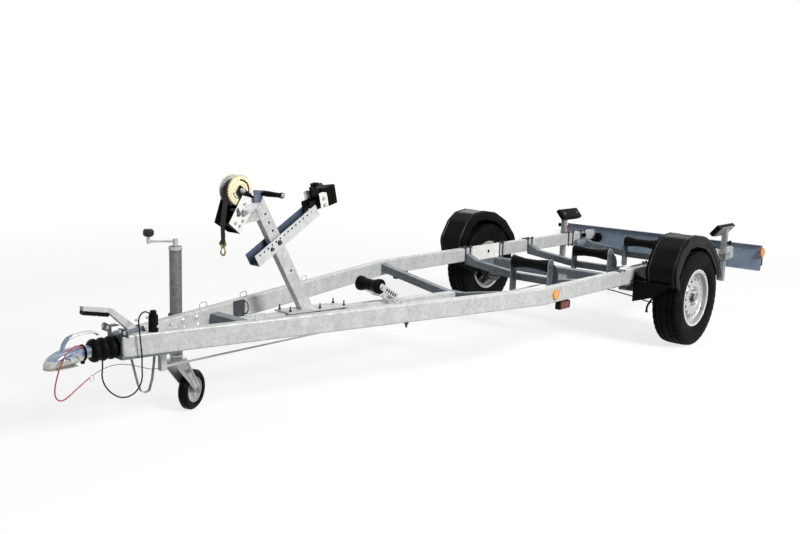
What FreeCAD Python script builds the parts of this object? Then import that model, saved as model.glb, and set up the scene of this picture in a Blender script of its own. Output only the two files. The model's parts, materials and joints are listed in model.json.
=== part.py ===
import FreeCAD, Part
import math
import os

# Braked single-axle boat trailer, in millimetres.
# X points forward to the coupling, Y to the trailer's left, Z up; the ground is Z = 0.

V = FreeCAD.Vector
X_AXIS = V(1, 0, 0)
Y_AXIS = V(0, 1, 0)
Z_AXIS = V(0, 0, 1)
FULL_TURN = 360.0
HALF_TURN = 180.0
QUARTER_TURN = 90.0

# Overall layout
RAIL_TOP = 540.0
FRAME_HALF = 667.0
NOSE_HALF = 57.0
AXLE_TO_BEND = 1480.0
DRAWBAR_LENGTH = 2414.0
RAIL_TAIL = 1374.0
COUPLING_REACH = 335.0
BOARD_THICKNESS = 3.0
TAIL_LAMP_DEPTH = 45.0

# Clearances
SEAT_GAP = 0.3
RUNNING_FIT = 0.05
OVERRUN = 20.0

# Rails
RAIL_WIDTH = 50.0
RAIL_HEIGHT = 100.0
RAIL_WALL = 3.0
RAIL_CORNER = 8.0

# Keel tube and the cross piece at its front
KEEL_SIZE = 60.0
KEEL_WALL = 3.0
KEEL_CORNER = 6.0
KEEL_TOP_REAR = 425.0
KEEL_RISE = 84.0
KEEL_FRONT_BACK_FROM_NOSE = 690.0
KEEL_CROSS_DEPTH = 60.0

# Cross members: square tubes dropped in the middle
CROSS_SIZE = 50.0
CROSS_WALL = 3.0
BEND_CROSS_AHEAD = 5.0
BEND_CROSS_END_TOP = 522.0
BEND_CROSS_MID_TOP = 425.0
BEND_CROSS_FLAT_HALF = 60.0
ROLLER_CROSS_AHEAD_OF_AXLE = 535.0
ROLLER_CROSS_PITCH = 845.0
ROLLER_CROSS_COUNT = 3
ROLLER_CROSS_END_TOP = 470.0
ROLLER_CROSS_MID_TOP = 418.0
ROLLER_CROSS_FLAT_HALF = 170.0

# Wheels, tyres and brakes
TYRE_RADIUS = 335.0
TYRE_WIDTH = 195.0
WHEEL_FROM_RAIL = 215.0
RIM_RADIUS = 194.0
RIM_WIDTH = 158.0
RIM_LIP = 14.0
RIM_WELL_RADIUS = 158.0
RIM_WALL = 5.0
DISC_RADIUS = 150.0
DISC_OUTSET = 48.0
DISC_SEAT = 18.0
DISC_THICKNESS = 5.0
DISC_HOLE_COUNT = 16
DISC_HOLE_RADIUS = 10.0
DISC_HOLE_CIRCLE = 124.0
DRUM_RADIUS = 118.0
DRUM_DEPTH = 62.0
DRUM_FACE_RADIUS = 70.0
HUB_CAP_RADIUS = 28.0
HUB_CAP_LENGTH = 34.0
SPINDLE_RADIUS = 18.0
STUD_COUNT = 5
STUD_CIRCLE = 56.0
STUD_RADIUS = 7.0
STUD_LENGTH = 24.0

# Rubber-torsion axle
AXLE_TUBE = 76.0
AXLE_WALL = 6.0
AXLE_AHEAD = 150.0
AXLE_CENTRE_Z = 396.0
AXLE_END_INSET = 182.0
BRACKET_THICKNESS = 8.0
BRACKET_LENGTH = 400.0
BRACKET_FRONT_AHEAD = 470.0
ARM_THICKNESS = 26.0
ARM_HUB_RADIUS = 42.0
ARM_TIP_RADIUS = 34.0
BACKPLATE_RADIUS = 122.0
BACKPLATE_THICKNESS = 6.0

# Mudguards
GUARD_INSIDE = 110.0
GUARD_OUTSIDE = 106.0
GUARD_WALL = 4.0
GUARD_LIP = 44.0
GUARD_AHEAD_OF_TYRE = 85.0
GUARD_BEHIND_TYRE = 27.0
GUARD_OVER_TYRE = 111.0
GUARD_LOW_OVER_AXLE = 118.0
GUARD_FRONT_SHARES = ((0.926, 0.0), (1.0, 0.335), (0.779, 0.771), (0.567, 0.954), (0.302, 1.0))
GUARD_REAR_SHARES = ((0.122, 0.93), (0.503, 0.723), (0.859, 0.341), (1.0, 0.0))
GUARD_BEND = 90.0
GUARD_EDGE_INNER = 30.0
GUARD_EDGE_OUTER = 9.0
STAY_BEHIND_GUARD_FRONT = 57.0
STAY_OVER_GUARD_LOW = 60.0
STAY_THICKNESS = 5.0
STAY_LOW = 313.0
STAY_STRIP = 50.0
STAY_SHARES = ((0.0, 0.0), (0.55, 0.245), (1.0, 0.73), (1.0, 0.78), (0.35, 0.83), (0.0, 1.0))

# Keel rollers
ROLLER_LENGTH = 290.0
ROLLER_END_RADIUS = 43.0
ROLLER_WAIST_RADIUS = 33.0
ROLLER_PIN_RADIUS = 8.0
ROLLER_AXIS_Z = 512.0
ROLLER_AHEAD_OF_CROSS = 53.0
CHEEK_THICKNESS = 5.0
CHEEK_DEPTH = 74.0
CHEEK_BOTTOM = 299.0
CHEEK_TOP = 559.0
CHEEK_GAP = 5.0
CHEEK_FLANGE = 48.0
CHEEK_FLANGE_SHARES = ((0.0, 0.0), (1.0, 0.0), (1.0, 0.72), (0.75, 0.88), (0.35, 0.97), (0.0, 1.0))
FRONT_ROLLER_BACK_OF_POST = 502.0
FRONT_ROLLER_Z = 562.0
FRONT_ROLLER_LENGTH = 165.0
FRONT_ARM_FOOT_BACK = 250.0
FRONT_ARM_WIDTH = 36.0
FRONT_ARM_THICKNESS = 6.0
FRONT_ARM_SLOTS = 4
PIN_HEAD_RADIUS = 13.0
PIN_HEAD_LENGTH = 9.0

# Side supports
SIDE_POST_SIZE = 40.0
LEFT_POST_AHEAD_OF_TAIL = 272.0
RIGHT_POST_AHEAD_OF_TAIL = 407.0
SIDE_POST_BOTTOM = 290.0
SIDE_POST_TOP = 685.0
SIDE_CLAMP_THICKNESS = 6.0
SIDE_CLAMP_LENGTH = 80.0
LEFT_PAD_SHIFT = 20.0
RIGHT_PAD_SHIFT = -46.0
PAD_LENGTH = 300.0
PAD_WIDTH = 95.0
PAD_THICKNESS = 35.0
PAD_TILT = 50.0
PAD_PLATE = 6.0

# Light board
BOARD_OVERHANG = 231.0
BOARD_TOP = 573.0
BOARD_BOTTOM = 367.0
BOARD_FLANGE = 26.0
TAIL_LAMP_WIDTH = 240.0
TAIL_LAMP_HEIGHT = 130.0
BOARD_REFLECTOR_RADIUS = 40.0
BOARD_REFLECTOR_THICKNESS = 8.0
BOARD_REFLECTOR_BEHIND_TAIL = 7.5
BOARD_REFLECTOR_Z = 513.0
TAIL_LAMP_BOTTOM = 400.0

# Winch post
POST_FOOT_BACK_FROM_NOSE = 1122.0
POST_LEAN = 30.0
POST_DEPTH = 72.0
POST_WIDTH = 40.0
POST_WALL = 4.0
POST_LENGTH = 700.0
POST_PLATE_LENGTH = 450.0
POST_PLATE_WIDTH = 110.0
POST_PLATE_THICKNESS = 8.0
POST_PLATE_FRONT = 165.0

# Bow stop arm and block
BOW_ARM_CROSSING = 432.0
BOW_ARM_FRONT = 165.0
BOW_ARM_REAR = 300.0
BOW_ARM_HEIGHT = 64.0
BOW_ARM_WIDTH = 74.0
BOW_ARM_WALL = 4.0
BOW_ARM_HOLE_PITCH = 30.0
BOW_ARM_HOLE_RADIUS = 5.5
BOW_BLOCK_WIDTH = 100.0
BOW_BLOCK_HEIGHT = 104.0
BOW_BLOCK_DEPTH = 84.0
BOW_BLOCK_TILT = 14.0
BOW_PLATE = 5.0
BOW_PIN_RADIUS = 6.0

# Winch
WINCH_BASE_LENGTH = 176.0
WINCH_HEAD_BACK = 15.0
WINCH_PLATE = 4.0
WINCH_HALF_WIDTH = 47.0
WINCH_SIDE_HEIGHT = 97.0
WINCH_SIDE_TOP = 124.0
WINCH_SIDE_TOP_LENGTH = 60.0
WINCH_SLOPE = 58.0
WINCH_GUSSET_UP = 110.0
WINCH_GUSSET_OUT = 130.0
COVER_HEIGHT = 88.0
COVER_THICKNESS = 2.5
DRUM_ALONG = -5.5
DRUM_ABOVE = 101.5
DRUM_CORE_RADIUS = 18.0
DRUM_FLANGE_RADIUS = 74.0
DRUM_FLANGE = 3.0
DRUM_HALF_WIDTH = 29.0
STRAP_ROLL_RADIUS = 52.0
GEAR_TEETH = 44
PINION_TEETH = 16
GEAR_MODULE = 3.3
GEAR_THICKNESS = 6.0
GEAR_ROOT_SHARE = 1.15
GEAR_TIP_SHARE = 0.85
TOOTH_ROOT_SHARE = 0.28
TOOTH_TIP_SHARE = 0.13
PINION_ANGLE = -38.0
CRANK_SHAFT_RADIUS = 8.0
CRANK_STANDOFF = 14.0
CRANK_REST_ANGLE = 137.0
CRANK_ARM_LENGTH = 150.0
CRANK_ARM_WIDTH = 34.0
CRANK_ARM_THICKNESS = 6.0
CRANK_ARM_SHARES = ((0.0, -0.5), (0.48, -1.09), (1.0, -0.24), (0.67, 1.29), (0.45, -0.06), (0.0, 0.5))
GRIP_PLACE_SHARES = (0.86, -0.2)
GRIP_LENGTH = 145.0
GRIP_RADIUS = 14.0
GRIP_SHARES = ((0.0, 0.75), (0.2, 1.0), (0.8, 0.8), (0.93, 0.95), (1.0, 0.8))
FAIRLEAD_RADIUS = 5.0
FAIRLEAD_INSET = 11.0
FAIRLEAD_ABOVE = 78.0

# Strap tail and snap hook
STRAP_HALF = 18.0
STRAP_THICKNESS = 3.0
HOOK_BAR_RADIUS = 4.5
HOOK_HALF = 22.5
HOOK_EYE_Z = 892.0
HOOK_LENGTH = 60.0
HOOK_SHARES = ((-1.0, 0.0), (1.0, 0.0), (1.0, -0.55), (0.4, -1.0), (-0.4, -1.0), (-1.0, -0.55))

# Coupling and overrun brake
COUPLING_Z = 484.0
SHAFT_RADIUS = 24.0
BELLOWS_LENGTH = 124.0
BELLOWS_RADIUS = 52.0
BELLOWS_NECK = 38.0
BELLOWS_RIBS = 5
BELLOWS_WALL = 4.0
HEAD_HALF_WIDTH = 38.0
HEAD_TOP = 505.0
HEAD_BOTTOM = 438.0
BALL_RADIUS = 25.3
BALL_BACK_FROM_TIP = 42.0
BALL_DEPTH = 20.0
HANDLE_WIDTH = 30.0
HANDLE_LENGTH = 171.0
HANDLE_HEIGHT = 71.0
HANDLE_SHARES = ((-0.05, 0.0), (0.0, 0.0), (-0.11, 0.42), (-0.35, 0.93), (-0.42, 1.0), (-0.94, 0.94), (-1.0, 0.8),
                 (-1.0, 0.62), (-0.46, 0.62), (-0.32, 0.5))
TETHER_BOSS_RADIUS = 6.0
TETHER_BOSS_LENGTH = 26.0
HOUSING_HALF = 38.0
HOUSING_LENGTH = 240.0
HOUSING_TOP = 505.0
FLANGE_THICKNESS = 8.0
FLANGE_HALF_FRONT = 57.0
FLANGE_HALF_REAR = 108.0
FRONT_PLATE_THICKNESS = 8.0
EAR_THICKNESS = 5.0
EAR_INNER = 15.0
EAR_TOP = 560.0

# Handbrake lever
LEVER_PIVOT_BACK = 110.0
LEVER_PIVOT_Z = 528.0
LEVER_PIN_RADIUS = 7.0
LEVER_WIDTH = 28.0
LEVER_HEIGHT = 22.0
LEVER_KNEE_AHEAD = 27.0
LEVER_KNEE_Z = 646.0
LEVER_TIP_AHEAD = 161.0
LEVER_TIP_Z = 674.0
ROD_RADIUS = 5.0
ROD_Z = 345.0
ROD_PLATE_TOP = 388.0
ROD_PLATE_HALF = 45.0
ROD_PLATE_THICKNESS = 10.0

# Plug, its holder and the hoop under the drawbar
PLUG_X = 2345.0
PLUG_Y = 66.0
PLUG_RADIUS = 17.0
PLUG_WALL = 5.0
PLUG_CAP_RADIUS = 14.5
PLUG_CAP_HEIGHT = 26.0
HOLDER_RADIUS = 21.5
HOLDER_HEIGHT = 71.0
RELIEF_RADIUS = 5.5
RELIEF_LENGTH = 24.0
HOOP_REAR_BACK = 212.0
HOOP_LENGTH = 134.0
HOOP_DROP = 199.0
HOOP_WIDTH = 16.0
HOOP_THICKNESS = 4.0
HOOP_OFF_CENTRE = 14.0
HOOP_SHARES = ((1.02, -0.05), (0.9, 0.25), (0.71, 0.76), (0.6, 0.94), (0.44, 1.0), (0.25, 0.97), (0.12, 0.71),
               (0.05, 0.37), (-0.01, -0.05))

# Brake cables
BRAKE_CABLE_DIAMETER = 8.0
BRAKE_CABLE_DROP = 75.0
BRAKE_CABLE_END_AHEAD = 83.5
BRAKE_CABLE_SHARES = ((0.0, 0.0, 0.04), (0.0, 0.23, 0.04), (0.1, 0.52, 0.17), (0.47, 0.76, 0.55),
                      (1.0, 0.89, 1.0), (1.0, 1.0, 1.0))

# Side markers
REFLECTOR_RADIUS = 30.0
REFLECTOR_THICKNESS = 7.0
REFLECTOR_BEHIND_BEND = 120.0
MARKER_BEHIND_BEND = 168.0
MARKER_LENGTH = 116.0
MARKER_HEIGHT = 44.0
MARKER_DEPTH = 34.0
MARKER_DROP = 6.0

# Cords: the points of their routes, and the share of the shorter run that an arc takes
ARC_SHARE = 0.45
CABLE_DIAMETER = 6.5
CABLE_ROUTE = [
    V(2365.8, 72.5, 624.2), V(2389.8, 80, 640.6), V(2418.6, 87.5, 637.6), V(2437.8, 91.8, 613.7),
    V(2434, 94, 566), V(2431, 96, 508), V(2423, 94, 449), V(2420, 87, 392), V(2411, 76, 340),
    V(2417, 60, 293), V(2446, 45, 259), V(2489, 31, 254), V(2528, 18, 279), V(2556, 8, 318),
    V(2567, 3, 362), V(2559.3, 0, 402), V(2559.3, 0, 436)]
TETHER_DIAMETER = 6.0
TETHER_ROUTE = [
    V(2662.9, 21.1, 513.5), V(2681.5, 23.4, 525), V(2709, 28.5, 524), V(2733, 38, 512), V(2757, 46, 494),
    V(2777, 50, 466), V(2791, 50.5, 434), V(2801, 50, 401), V(2807, 47, 367), V(2805, 43, 335),
    V(2790, 38, 311), V(2765, 32, 303), V(2735, 26, 313), V(2703, 20, 331), V(2669, 15, 349),
    V(2640, 12.5, 366), V(2622, 12, 375)]
WIRE_DIAMETER = 3.0
WIRE_ROUTE = [
    V(2622, 12, 375), V(2598, 12, 387), V(2568, 12, 397), V(2535, 12.5, 404.5), V(2500, 12, 405.5),
    V(2462, 12, 400), V(2420, 12, 388), V(2375, 12, 370), V(2331, 12, 352), V(2298, 11, 346),
    V(2270.5, 11, 346)]

# Jockey wheel
JOCKEY_BACK_FROM_NOSE = 460.0
JOCKEY_RADIUS = 30.0
JOCKEY_WALL = 3.0
JOCKEY_TOP = 862.0
JOCKEY_BOTTOM = 305.0
JOCKEY_CLAMP_LOW = 452.0
JOCKEY_CLAMP_HIGH = 528.0
JOCKEY_CLAMP_WALL = 8.0
JOCKEY_INNER_LENGTH = 330.0
JOCKEY_TRAIL = 140.0
JOCKEY_TRAIL_ANGLE = 203.0
JOCKEY_WHEEL_RADIUS = 103.0
JOCKEY_WHEEL_WIDTH = 50.0
JOCKEY_RIM_RADIUS = 64.0
JOCKEY_RIM_WIDTH = 40.0
JOCKEY_BORE = 10.0
FORK_PLATE = 6.0
FORK_GAP = 6.0
FORK_HEAD_RADIUS = 34.0
FORK_HEAD_THICKNESS = 10.0
FORK_TIP_RADIUS = 20.0
JOCKEY_CRANK_ARM = 125.0
JOCKEY_CRANK_ANGLE = -35.0
JOCKEY_CRANK_RADIUS = 6.0
KNOB_RADIUS = 26.0


# Derived places
FRONT_REACH = AXLE_TO_BEND + DRAWBAR_LENGTH + COUPLING_REACH
REAR_REACH = RAIL_TAIL + BOARD_THICKNESS + TAIL_LAMP_DEPTH
AXLE_X = (REAR_REACH - FRONT_REACH) / 2
BEND_X = AXLE_X + AXLE_TO_BEND
FRONT_X = BEND_X + DRAWBAR_LENGTH
TAIL_X = AXLE_X - RAIL_TAIL
TIP_X = FRONT_X + COUPLING_REACH
RAIL_BOTTOM = RAIL_TOP - RAIL_HEIGHT
TAPER = math.atan2(FRAME_HALF - NOSE_HALF, DRAWBAR_LENGTH)
INNER_HALF = FRAME_HALF - RAIL_WIDTH
WHEEL_HALF_TRACK = FRAME_HALF + WHEEL_FROM_RAIL
AXLE_HALF_LENGTH = WHEEL_HALF_TRACK - AXLE_END_INSET
GUARD_INNER = WHEEL_HALF_TRACK - GUARD_INSIDE
GUARD_OUTER = WHEEL_HALF_TRACK + GUARD_OUTSIDE
GUARD_FRONT_REACH = TYRE_RADIUS + GUARD_AHEAD_OF_TYRE
GUARD_REAR_REACH = TYRE_RADIUS + GUARD_BEHIND_TYRE
GUARD_TOP = 2 * TYRE_RADIUS + GUARD_OVER_TYRE
GUARD_LOW = TYRE_RADIUS + GUARD_LOW_OVER_AXLE
STAY_HIGH = GUARD_LOW + STAY_OVER_GUARD_LOW
BOARD_HALF = FRAME_HALF + BOARD_OVERHANG
POST_X = FRONT_X - POST_FOOT_BACK_FROM_NOSE
MITRE_WIDTH = RAIL_WIDTH / math.cos(TAPER)


def outer_half_at(x):
    """Half the width over the rails at a station along the trailer."""
    if x <= BEND_X:
        return FRAME_HALF
    return FRAME_HALF - (x - BEND_X) * math.tan(TAPER)


def inner_half_at(x):
    """Half the clear width between the rails at a station along the trailer."""
    return min(INNER_HALF, FRAME_HALF - (x - BEND_X) * math.tan(TAPER) - MITRE_WIDTH)


# Shape helpers

def block(x0, x1, y0, y1, z0, z1):
    corner = V(min(x0, x1), min(y0, y1), min(z0, z1))
    return Part.makeBox(abs(x1 - x0), abs(y1 - y0), abs(z1 - z0), corner)


def rod(radius, start, end):
    axis = end - start
    return Part.makeCylinder(radius, axis.Length, start, axis)


def pipe(outer, inner, start, end):
    axis = (end - start).normalize() * OVERRUN
    return rod(outer, start, end).cut(rod(inner, start - axis, end + axis))


def fuse(*shapes):
    result = shapes[0]
    for shape in shapes[1:]:
        result = result.fuse(shape)
    return result.removeSplitter()


def mirrored(shape):
    """The same piece on the trailer's right."""
    return shape.mirror(V(0, 0, 0), Y_AXIS)


def polygon_face(points):
    return Part.Face(Part.makePolygon(points + points[:1]))


def plate_xz(points, y0, y1):
    """A flat plate with its outline in the XZ plane, from y0 to y1."""
    face = polygon_face([V(x, y0, z) for x, z in points])
    return face.extrude(V(0, y1 - y0, 0))


def plate_xy(points, z0, z1):
    face = polygon_face([V(x, y, z0) for x, y in points])
    return face.extrude(V(0, 0, z1 - z0))


def turned(points, centre, axis):
    """A solid of revolution: points are (distance along the axis, radius)."""
    across = Z_AXIS if abs(axis.dot(Z_AXIS)) < abs(axis.dot(X_AXIS)) + abs(axis.dot(Y_AXIS)) else X_AXIS
    face = polygon_face([centre + axis * along + across * radius for along, radius in points])
    return face.revolve(centre, axis, FULL_TURN)


def rounded_section(width, height, corner):
    """A closed wire in the YZ plane about the origin, with rounded corners."""
    hy, hz = width / 2, height / 2
    edges = []
    corners = ((1, 1), (-1, 1), (-1, -1), (1, -1))
    arcs = []
    for index, (sy, sz) in enumerate(corners):
        centre = V(0, sy * (hy - corner), sz * (hz - corner))
        start_angle = index * QUARTER_TURN
        points = []
        for share in (0.0, 0.5, 1.0):
            angle = math.radians(start_angle + share * QUARTER_TURN)
            points.append(centre + V(0, math.cos(angle) * corner, math.sin(angle) * corner))
        arcs.append(points)
    for index, points in enumerate(arcs):
        edges.append(Part.Arc(*points).toShape())
        following = arcs[(index + 1) % len(arcs)]
        edges.append(Part.makeLine(points[-1], following[0]))
    return Part.Wire(edges)


def box_tube(width, height, wall, corner, start, end, up=Z_AXIS):
    """A straight hollow box section from start to end; up gives the height's direction."""
    outer = Part.Face(rounded_section(width, height, corner))
    inner_corner = max(corner - wall, wall / 2)
    inner = Part.Face(rounded_section(width - 2 * wall, height - 2 * wall, inner_corner))
    along = (end - start).normalize()
    side = up.cross(along).normalize()
    top = along.cross(side)
    section = outer.cut(inner)
    section.Placement = FreeCAD.Placement(start, FreeCAD.Rotation(along, side, top, "XYZ"))
    return section.extrude(end - start)


def half_space(point, normal):
    """A large box that fills the side of a plane that its normal points to."""
    size = 2 * (FRONT_REACH + REAR_REACH)
    box = Part.makeBox(size, size, size, V(-size / 2, -size / 2, 0))
    box.Placement = FreeCAD.Placement(point, FreeCAD.Rotation(Z_AXIS, normal))
    return box


# Frame

def rail():
    """The left rail: one box section, straight beside the wheels and turned in to the nose."""
    centre_z = RAIL_TOP - RAIL_HEIGHT / 2
    centre_y = FRAME_HALF - RAIL_WIDTH / 2
    bend = V(BEND_X - RAIL_WIDTH / 2 * math.tan(TAPER / 2), centre_y, centre_z)
    forward = V(math.cos(TAPER), -math.sin(TAPER), 0)
    mitre = (X_AXIS + forward).normalize()
    straight = box_tube(RAIL_WIDTH, RAIL_HEIGHT, RAIL_WALL, RAIL_CORNER,
                        V(TAIL_X, centre_y, centre_z), bend + X_AXIS * RAIL_WIDTH)
    slanted = box_tube(RAIL_WIDTH, RAIL_HEIGHT, RAIL_WALL, RAIL_CORNER,
                       bend - forward * RAIL_WIDTH, bend + forward * (DRAWBAR_LENGTH * 2))
    straight = straight.cut(half_space(bend, mitre))
    slanted = slanted.common(half_space(bend, mitre))
    slanted = slanted.cut(half_space(V(FRONT_X, 0, 0), X_AXIS))
    shape = fuse(straight, slanted)
    slot_half = HOUSING_HALF + SEAT_GAP
    slot = block(BEND_X, FRONT_X + OVERRUN, -slot_half, slot_half,
                 RAIL_BOTTOM - OVERRUN, RAIL_TOP + OVERRUN)
    return shape.cut(slot)


KEEL_REAR_X = BEND_X + BEND_CROSS_AHEAD + CROSS_SIZE / 2
KEEL_FRONT_X = FRONT_X - KEEL_FRONT_BACK_FROM_NOSE
KEEL_SLOPE = math.atan2(KEEL_RISE, KEEL_FRONT_X - KEEL_REAR_X)


def keel_top_at(x):
    return KEEL_TOP_REAR + (x - KEEL_REAR_X) * math.tan(KEEL_SLOPE)


def keel_tube():
    """The light central tube, welded at its front to a cross piece between the rails."""
    along = V(math.cos(KEEL_SLOPE), 0, math.sin(KEEL_SLOPE))
    drop = KEEL_SIZE / 2 / math.cos(KEEL_SLOPE)
    start = V(KEEL_REAR_X, 0, KEEL_TOP_REAR - drop)
    tube = box_tube(KEEL_SIZE, KEEL_SIZE, KEEL_WALL, KEEL_CORNER,
                    start - along * KEEL_SIZE, start + along * (KEEL_FRONT_X - KEEL_REAR_X + KEEL_SIZE))
    tube = tube.cut(half_space(V(KEEL_REAR_X, 0, 0), -X_AXIS))
    tube = tube.cut(half_space(V(KEEL_FRONT_X, 0, 0), X_AXIS))
    top = keel_top_at(KEEL_FRONT_X)
    front = KEEL_FRONT_X + KEEL_CROSS_DEPTH
    outline = [(KEEL_FRONT_X, inner_half_at(KEEL_FRONT_X)), (front, inner_half_at(front)),
               (front, -inner_half_at(front)), (KEEL_FRONT_X, -inner_half_at(KEEL_FRONT_X))]
    cross = plate_xy(outline, top - KEEL_SIZE, top)
    hollow = block(KEEL_FRONT_X + KEEL_WALL, front - KEEL_WALL, -FRAME_HALF, FRAME_HALF,
                   top - KEEL_SIZE - OVERRUN, top - KEEL_WALL)
    return fuse(tube, cross.cut(hollow))


def cross_member(x, end_top, mid_top, flat_half):
    """A square tube between the rails, dropped to a flat in the middle."""
    size, wall = CROSS_SIZE, CROSS_WALL
    half = INNER_HALF
    outer = [(-half, end_top), (-flat_half, mid_top), (flat_half, mid_top), (half, end_top),
             (half, end_top - size), (flat_half, mid_top - size),
             (-flat_half, mid_top - size), (-half, end_top - size)]
    inner = [(-half - OVERRUN, end_top - wall), (-flat_half, mid_top - wall),
             (flat_half, mid_top - wall), (half + OVERRUN, end_top - wall),
             (half + OVERRUN, end_top - size + wall), (flat_half, mid_top - size + wall),
             (-flat_half, mid_top - size + wall), (-half - OVERRUN, end_top - size + wall)]
    solid = polygon_face([V(x - size / 2, y, z) for y, z in outer]).extrude(V(size, 0, 0))
    hollow = polygon_face([V(x - size / 2 + wall, y, z) for y, z in inner])
    return solid.cut(hollow.extrude(V(size - 2 * wall, 0, 0)))


def bend_cross_member():
    """The cross member at the bend, its ends cut to the rails' inner faces."""
    shape = cross_member(BEND_X + BEND_CROSS_AHEAD, BEND_CROSS_END_TOP,
                         BEND_CROSS_MID_TOP, BEND_CROSS_FLAT_HALF)
    outside = half_space(V(BEND_X, FRAME_HALF - MITRE_WIDTH, 0),
                         V(math.sin(TAPER), math.cos(TAPER), 0))
    return shape.cut(outside).cut(mirrored(outside))


def roller_cross_x(index):
    return AXLE_X + ROLLER_CROSS_AHEAD_OF_AXLE - index * ROLLER_CROSS_PITCH


# Axle, wheels and mudguards

AXLE_TUBE_X = AXLE_X + AXLE_AHEAD
AXLE_TUBE_TOP = AXLE_CENTRE_Z + AXLE_TUBE / 2
ARM_Y = AXLE_HALF_LENGTH
DRUM_INNER_Y = ARM_Y + ARM_THICKNESS + BACKPLATE_THICKNESS + SEAT_GAP
DISC_Y = WHEEL_HALF_TRACK + DISC_OUTSET


def axle_beam():
    """The axle tube with a hanging bracket plate under each rail."""
    tube = box_tube(AXLE_TUBE, AXLE_TUBE, AXLE_WALL, AXLE_WALL,
                    V(AXLE_TUBE_X, -AXLE_HALF_LENGTH, AXLE_CENTRE_Z),
                    V(AXLE_TUBE_X, AXLE_HALF_LENGTH, AXLE_CENTRE_Z))
    front = AXLE_X + BRACKET_FRONT_AHEAD
    rear = front - BRACKET_LENGTH
    foot = block(rear, front, INNER_HALF, FRAME_HALF, RAIL_BOTTOM - BRACKET_THICKNESS, RAIL_BOTTOM)
    drop = AXLE_CENTRE_Z - AXLE_TUBE / 2
    outline = [(rear, RAIL_BOTTOM), (front, RAIL_BOTTOM), (front, RAIL_BOTTOM - AXLE_TUBE / 2),
               (AXLE_TUBE_X + AXLE_TUBE, drop), (AXLE_TUBE_X - AXLE_TUBE / 2, drop)]
    wing = plate_xz(outline, INNER_HALF, INNER_HALF + BRACKET_THICKNESS)
    hollow = block(AXLE_TUBE_X - AXLE_TUBE / 2 + AXLE_WALL, AXLE_TUBE_X + AXLE_TUBE / 2 - AXLE_WALL,
                   -AXLE_HALF_LENGTH, AXLE_HALF_LENGTH,
                   AXLE_CENTRE_Z - AXLE_TUBE / 2 + AXLE_WALL, AXLE_CENTRE_Z + AXLE_TUBE / 2 - AXLE_WALL)
    bracket = fuse(foot, wing).cut(hollow)
    return fuse(tube, bracket, mirrored(bracket))


def swing_arm():
    """The left trailing arm with its spindle and the brake's back plate."""
    y0, y1 = ARM_Y, ARM_Y + ARM_THICKNESS
    pivot = V(AXLE_TUBE_X, y0, AXLE_CENTRE_Z)
    tip = V(AXLE_X, y0, TYRE_RADIUS)
    reach = Y_AXIS * ARM_THICKNESS
    body = fuse(rod(ARM_HUB_RADIUS, pivot, pivot + reach), rod(ARM_TIP_RADIUS, tip, tip + reach))
    along = (tip - pivot).normalize()
    side = along.cross(Y_AXIS)
    web = polygon_face([pivot + side * ARM_HUB_RADIUS, tip + side * ARM_TIP_RADIUS,
                        tip - side * ARM_TIP_RADIUS, pivot - side * ARM_HUB_RADIUS])
    plate = rod(BACKPLATE_RADIUS, V(AXLE_X, y1, TYRE_RADIUS),
                V(AXLE_X, y1 + BACKPLATE_THICKNESS, TYRE_RADIUS))
    spindle = rod(SPINDLE_RADIUS, V(AXLE_X, y1, TYRE_RADIUS), V(AXLE_X, DISC_Y - DISC_THICKNESS, TYRE_RADIUS))
    return fuse(body, web.extrude(reach), plate, spindle)


def brake_drum():
    """The left brake drum and hub, with the wheel studs and the grease cap."""
    centre = V(AXLE_X, 0, TYRE_RADIUS)
    wall = RIM_WALL + RAIL_WALL
    start, end = DRUM_INNER_Y, DRUM_INNER_Y + DRUM_DEPTH
    face = DISC_Y - DISC_THICKNESS
    bore = SPINDLE_RADIUS + RUNNING_FIT
    profile = [(start, DRUM_RADIUS - wall), (start, DRUM_RADIUS), (end, DRUM_RADIUS),
               (end + wall, DRUM_FACE_RADIUS), (face, DRUM_FACE_RADIUS), (face, HUB_CAP_RADIUS),
               (face + HUB_CAP_LENGTH - wall, HUB_CAP_RADIUS), (face + HUB_CAP_LENGTH, HUB_CAP_RADIUS - wall),
               (face + HUB_CAP_LENGTH, 0), (face + SEAT_GAP, 0), (face + SEAT_GAP, bore),
               (end - wall, bore), (end - wall, DRUM_RADIUS - wall)]
    shape = turned(profile, centre, Y_AXIS)
    for index in range(STUD_COUNT):
        angle = math.radians(index * FULL_TURN / STUD_COUNT + QUARTER_TURN)
        base = centre + V(math.cos(angle) * STUD_CIRCLE, face - wall, math.sin(angle) * STUD_CIRCLE)
        shape = shape.fuse(rod(STUD_RADIUS, base, base + Y_AXIS * (STUD_LENGTH + wall)))
    return shape


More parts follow.
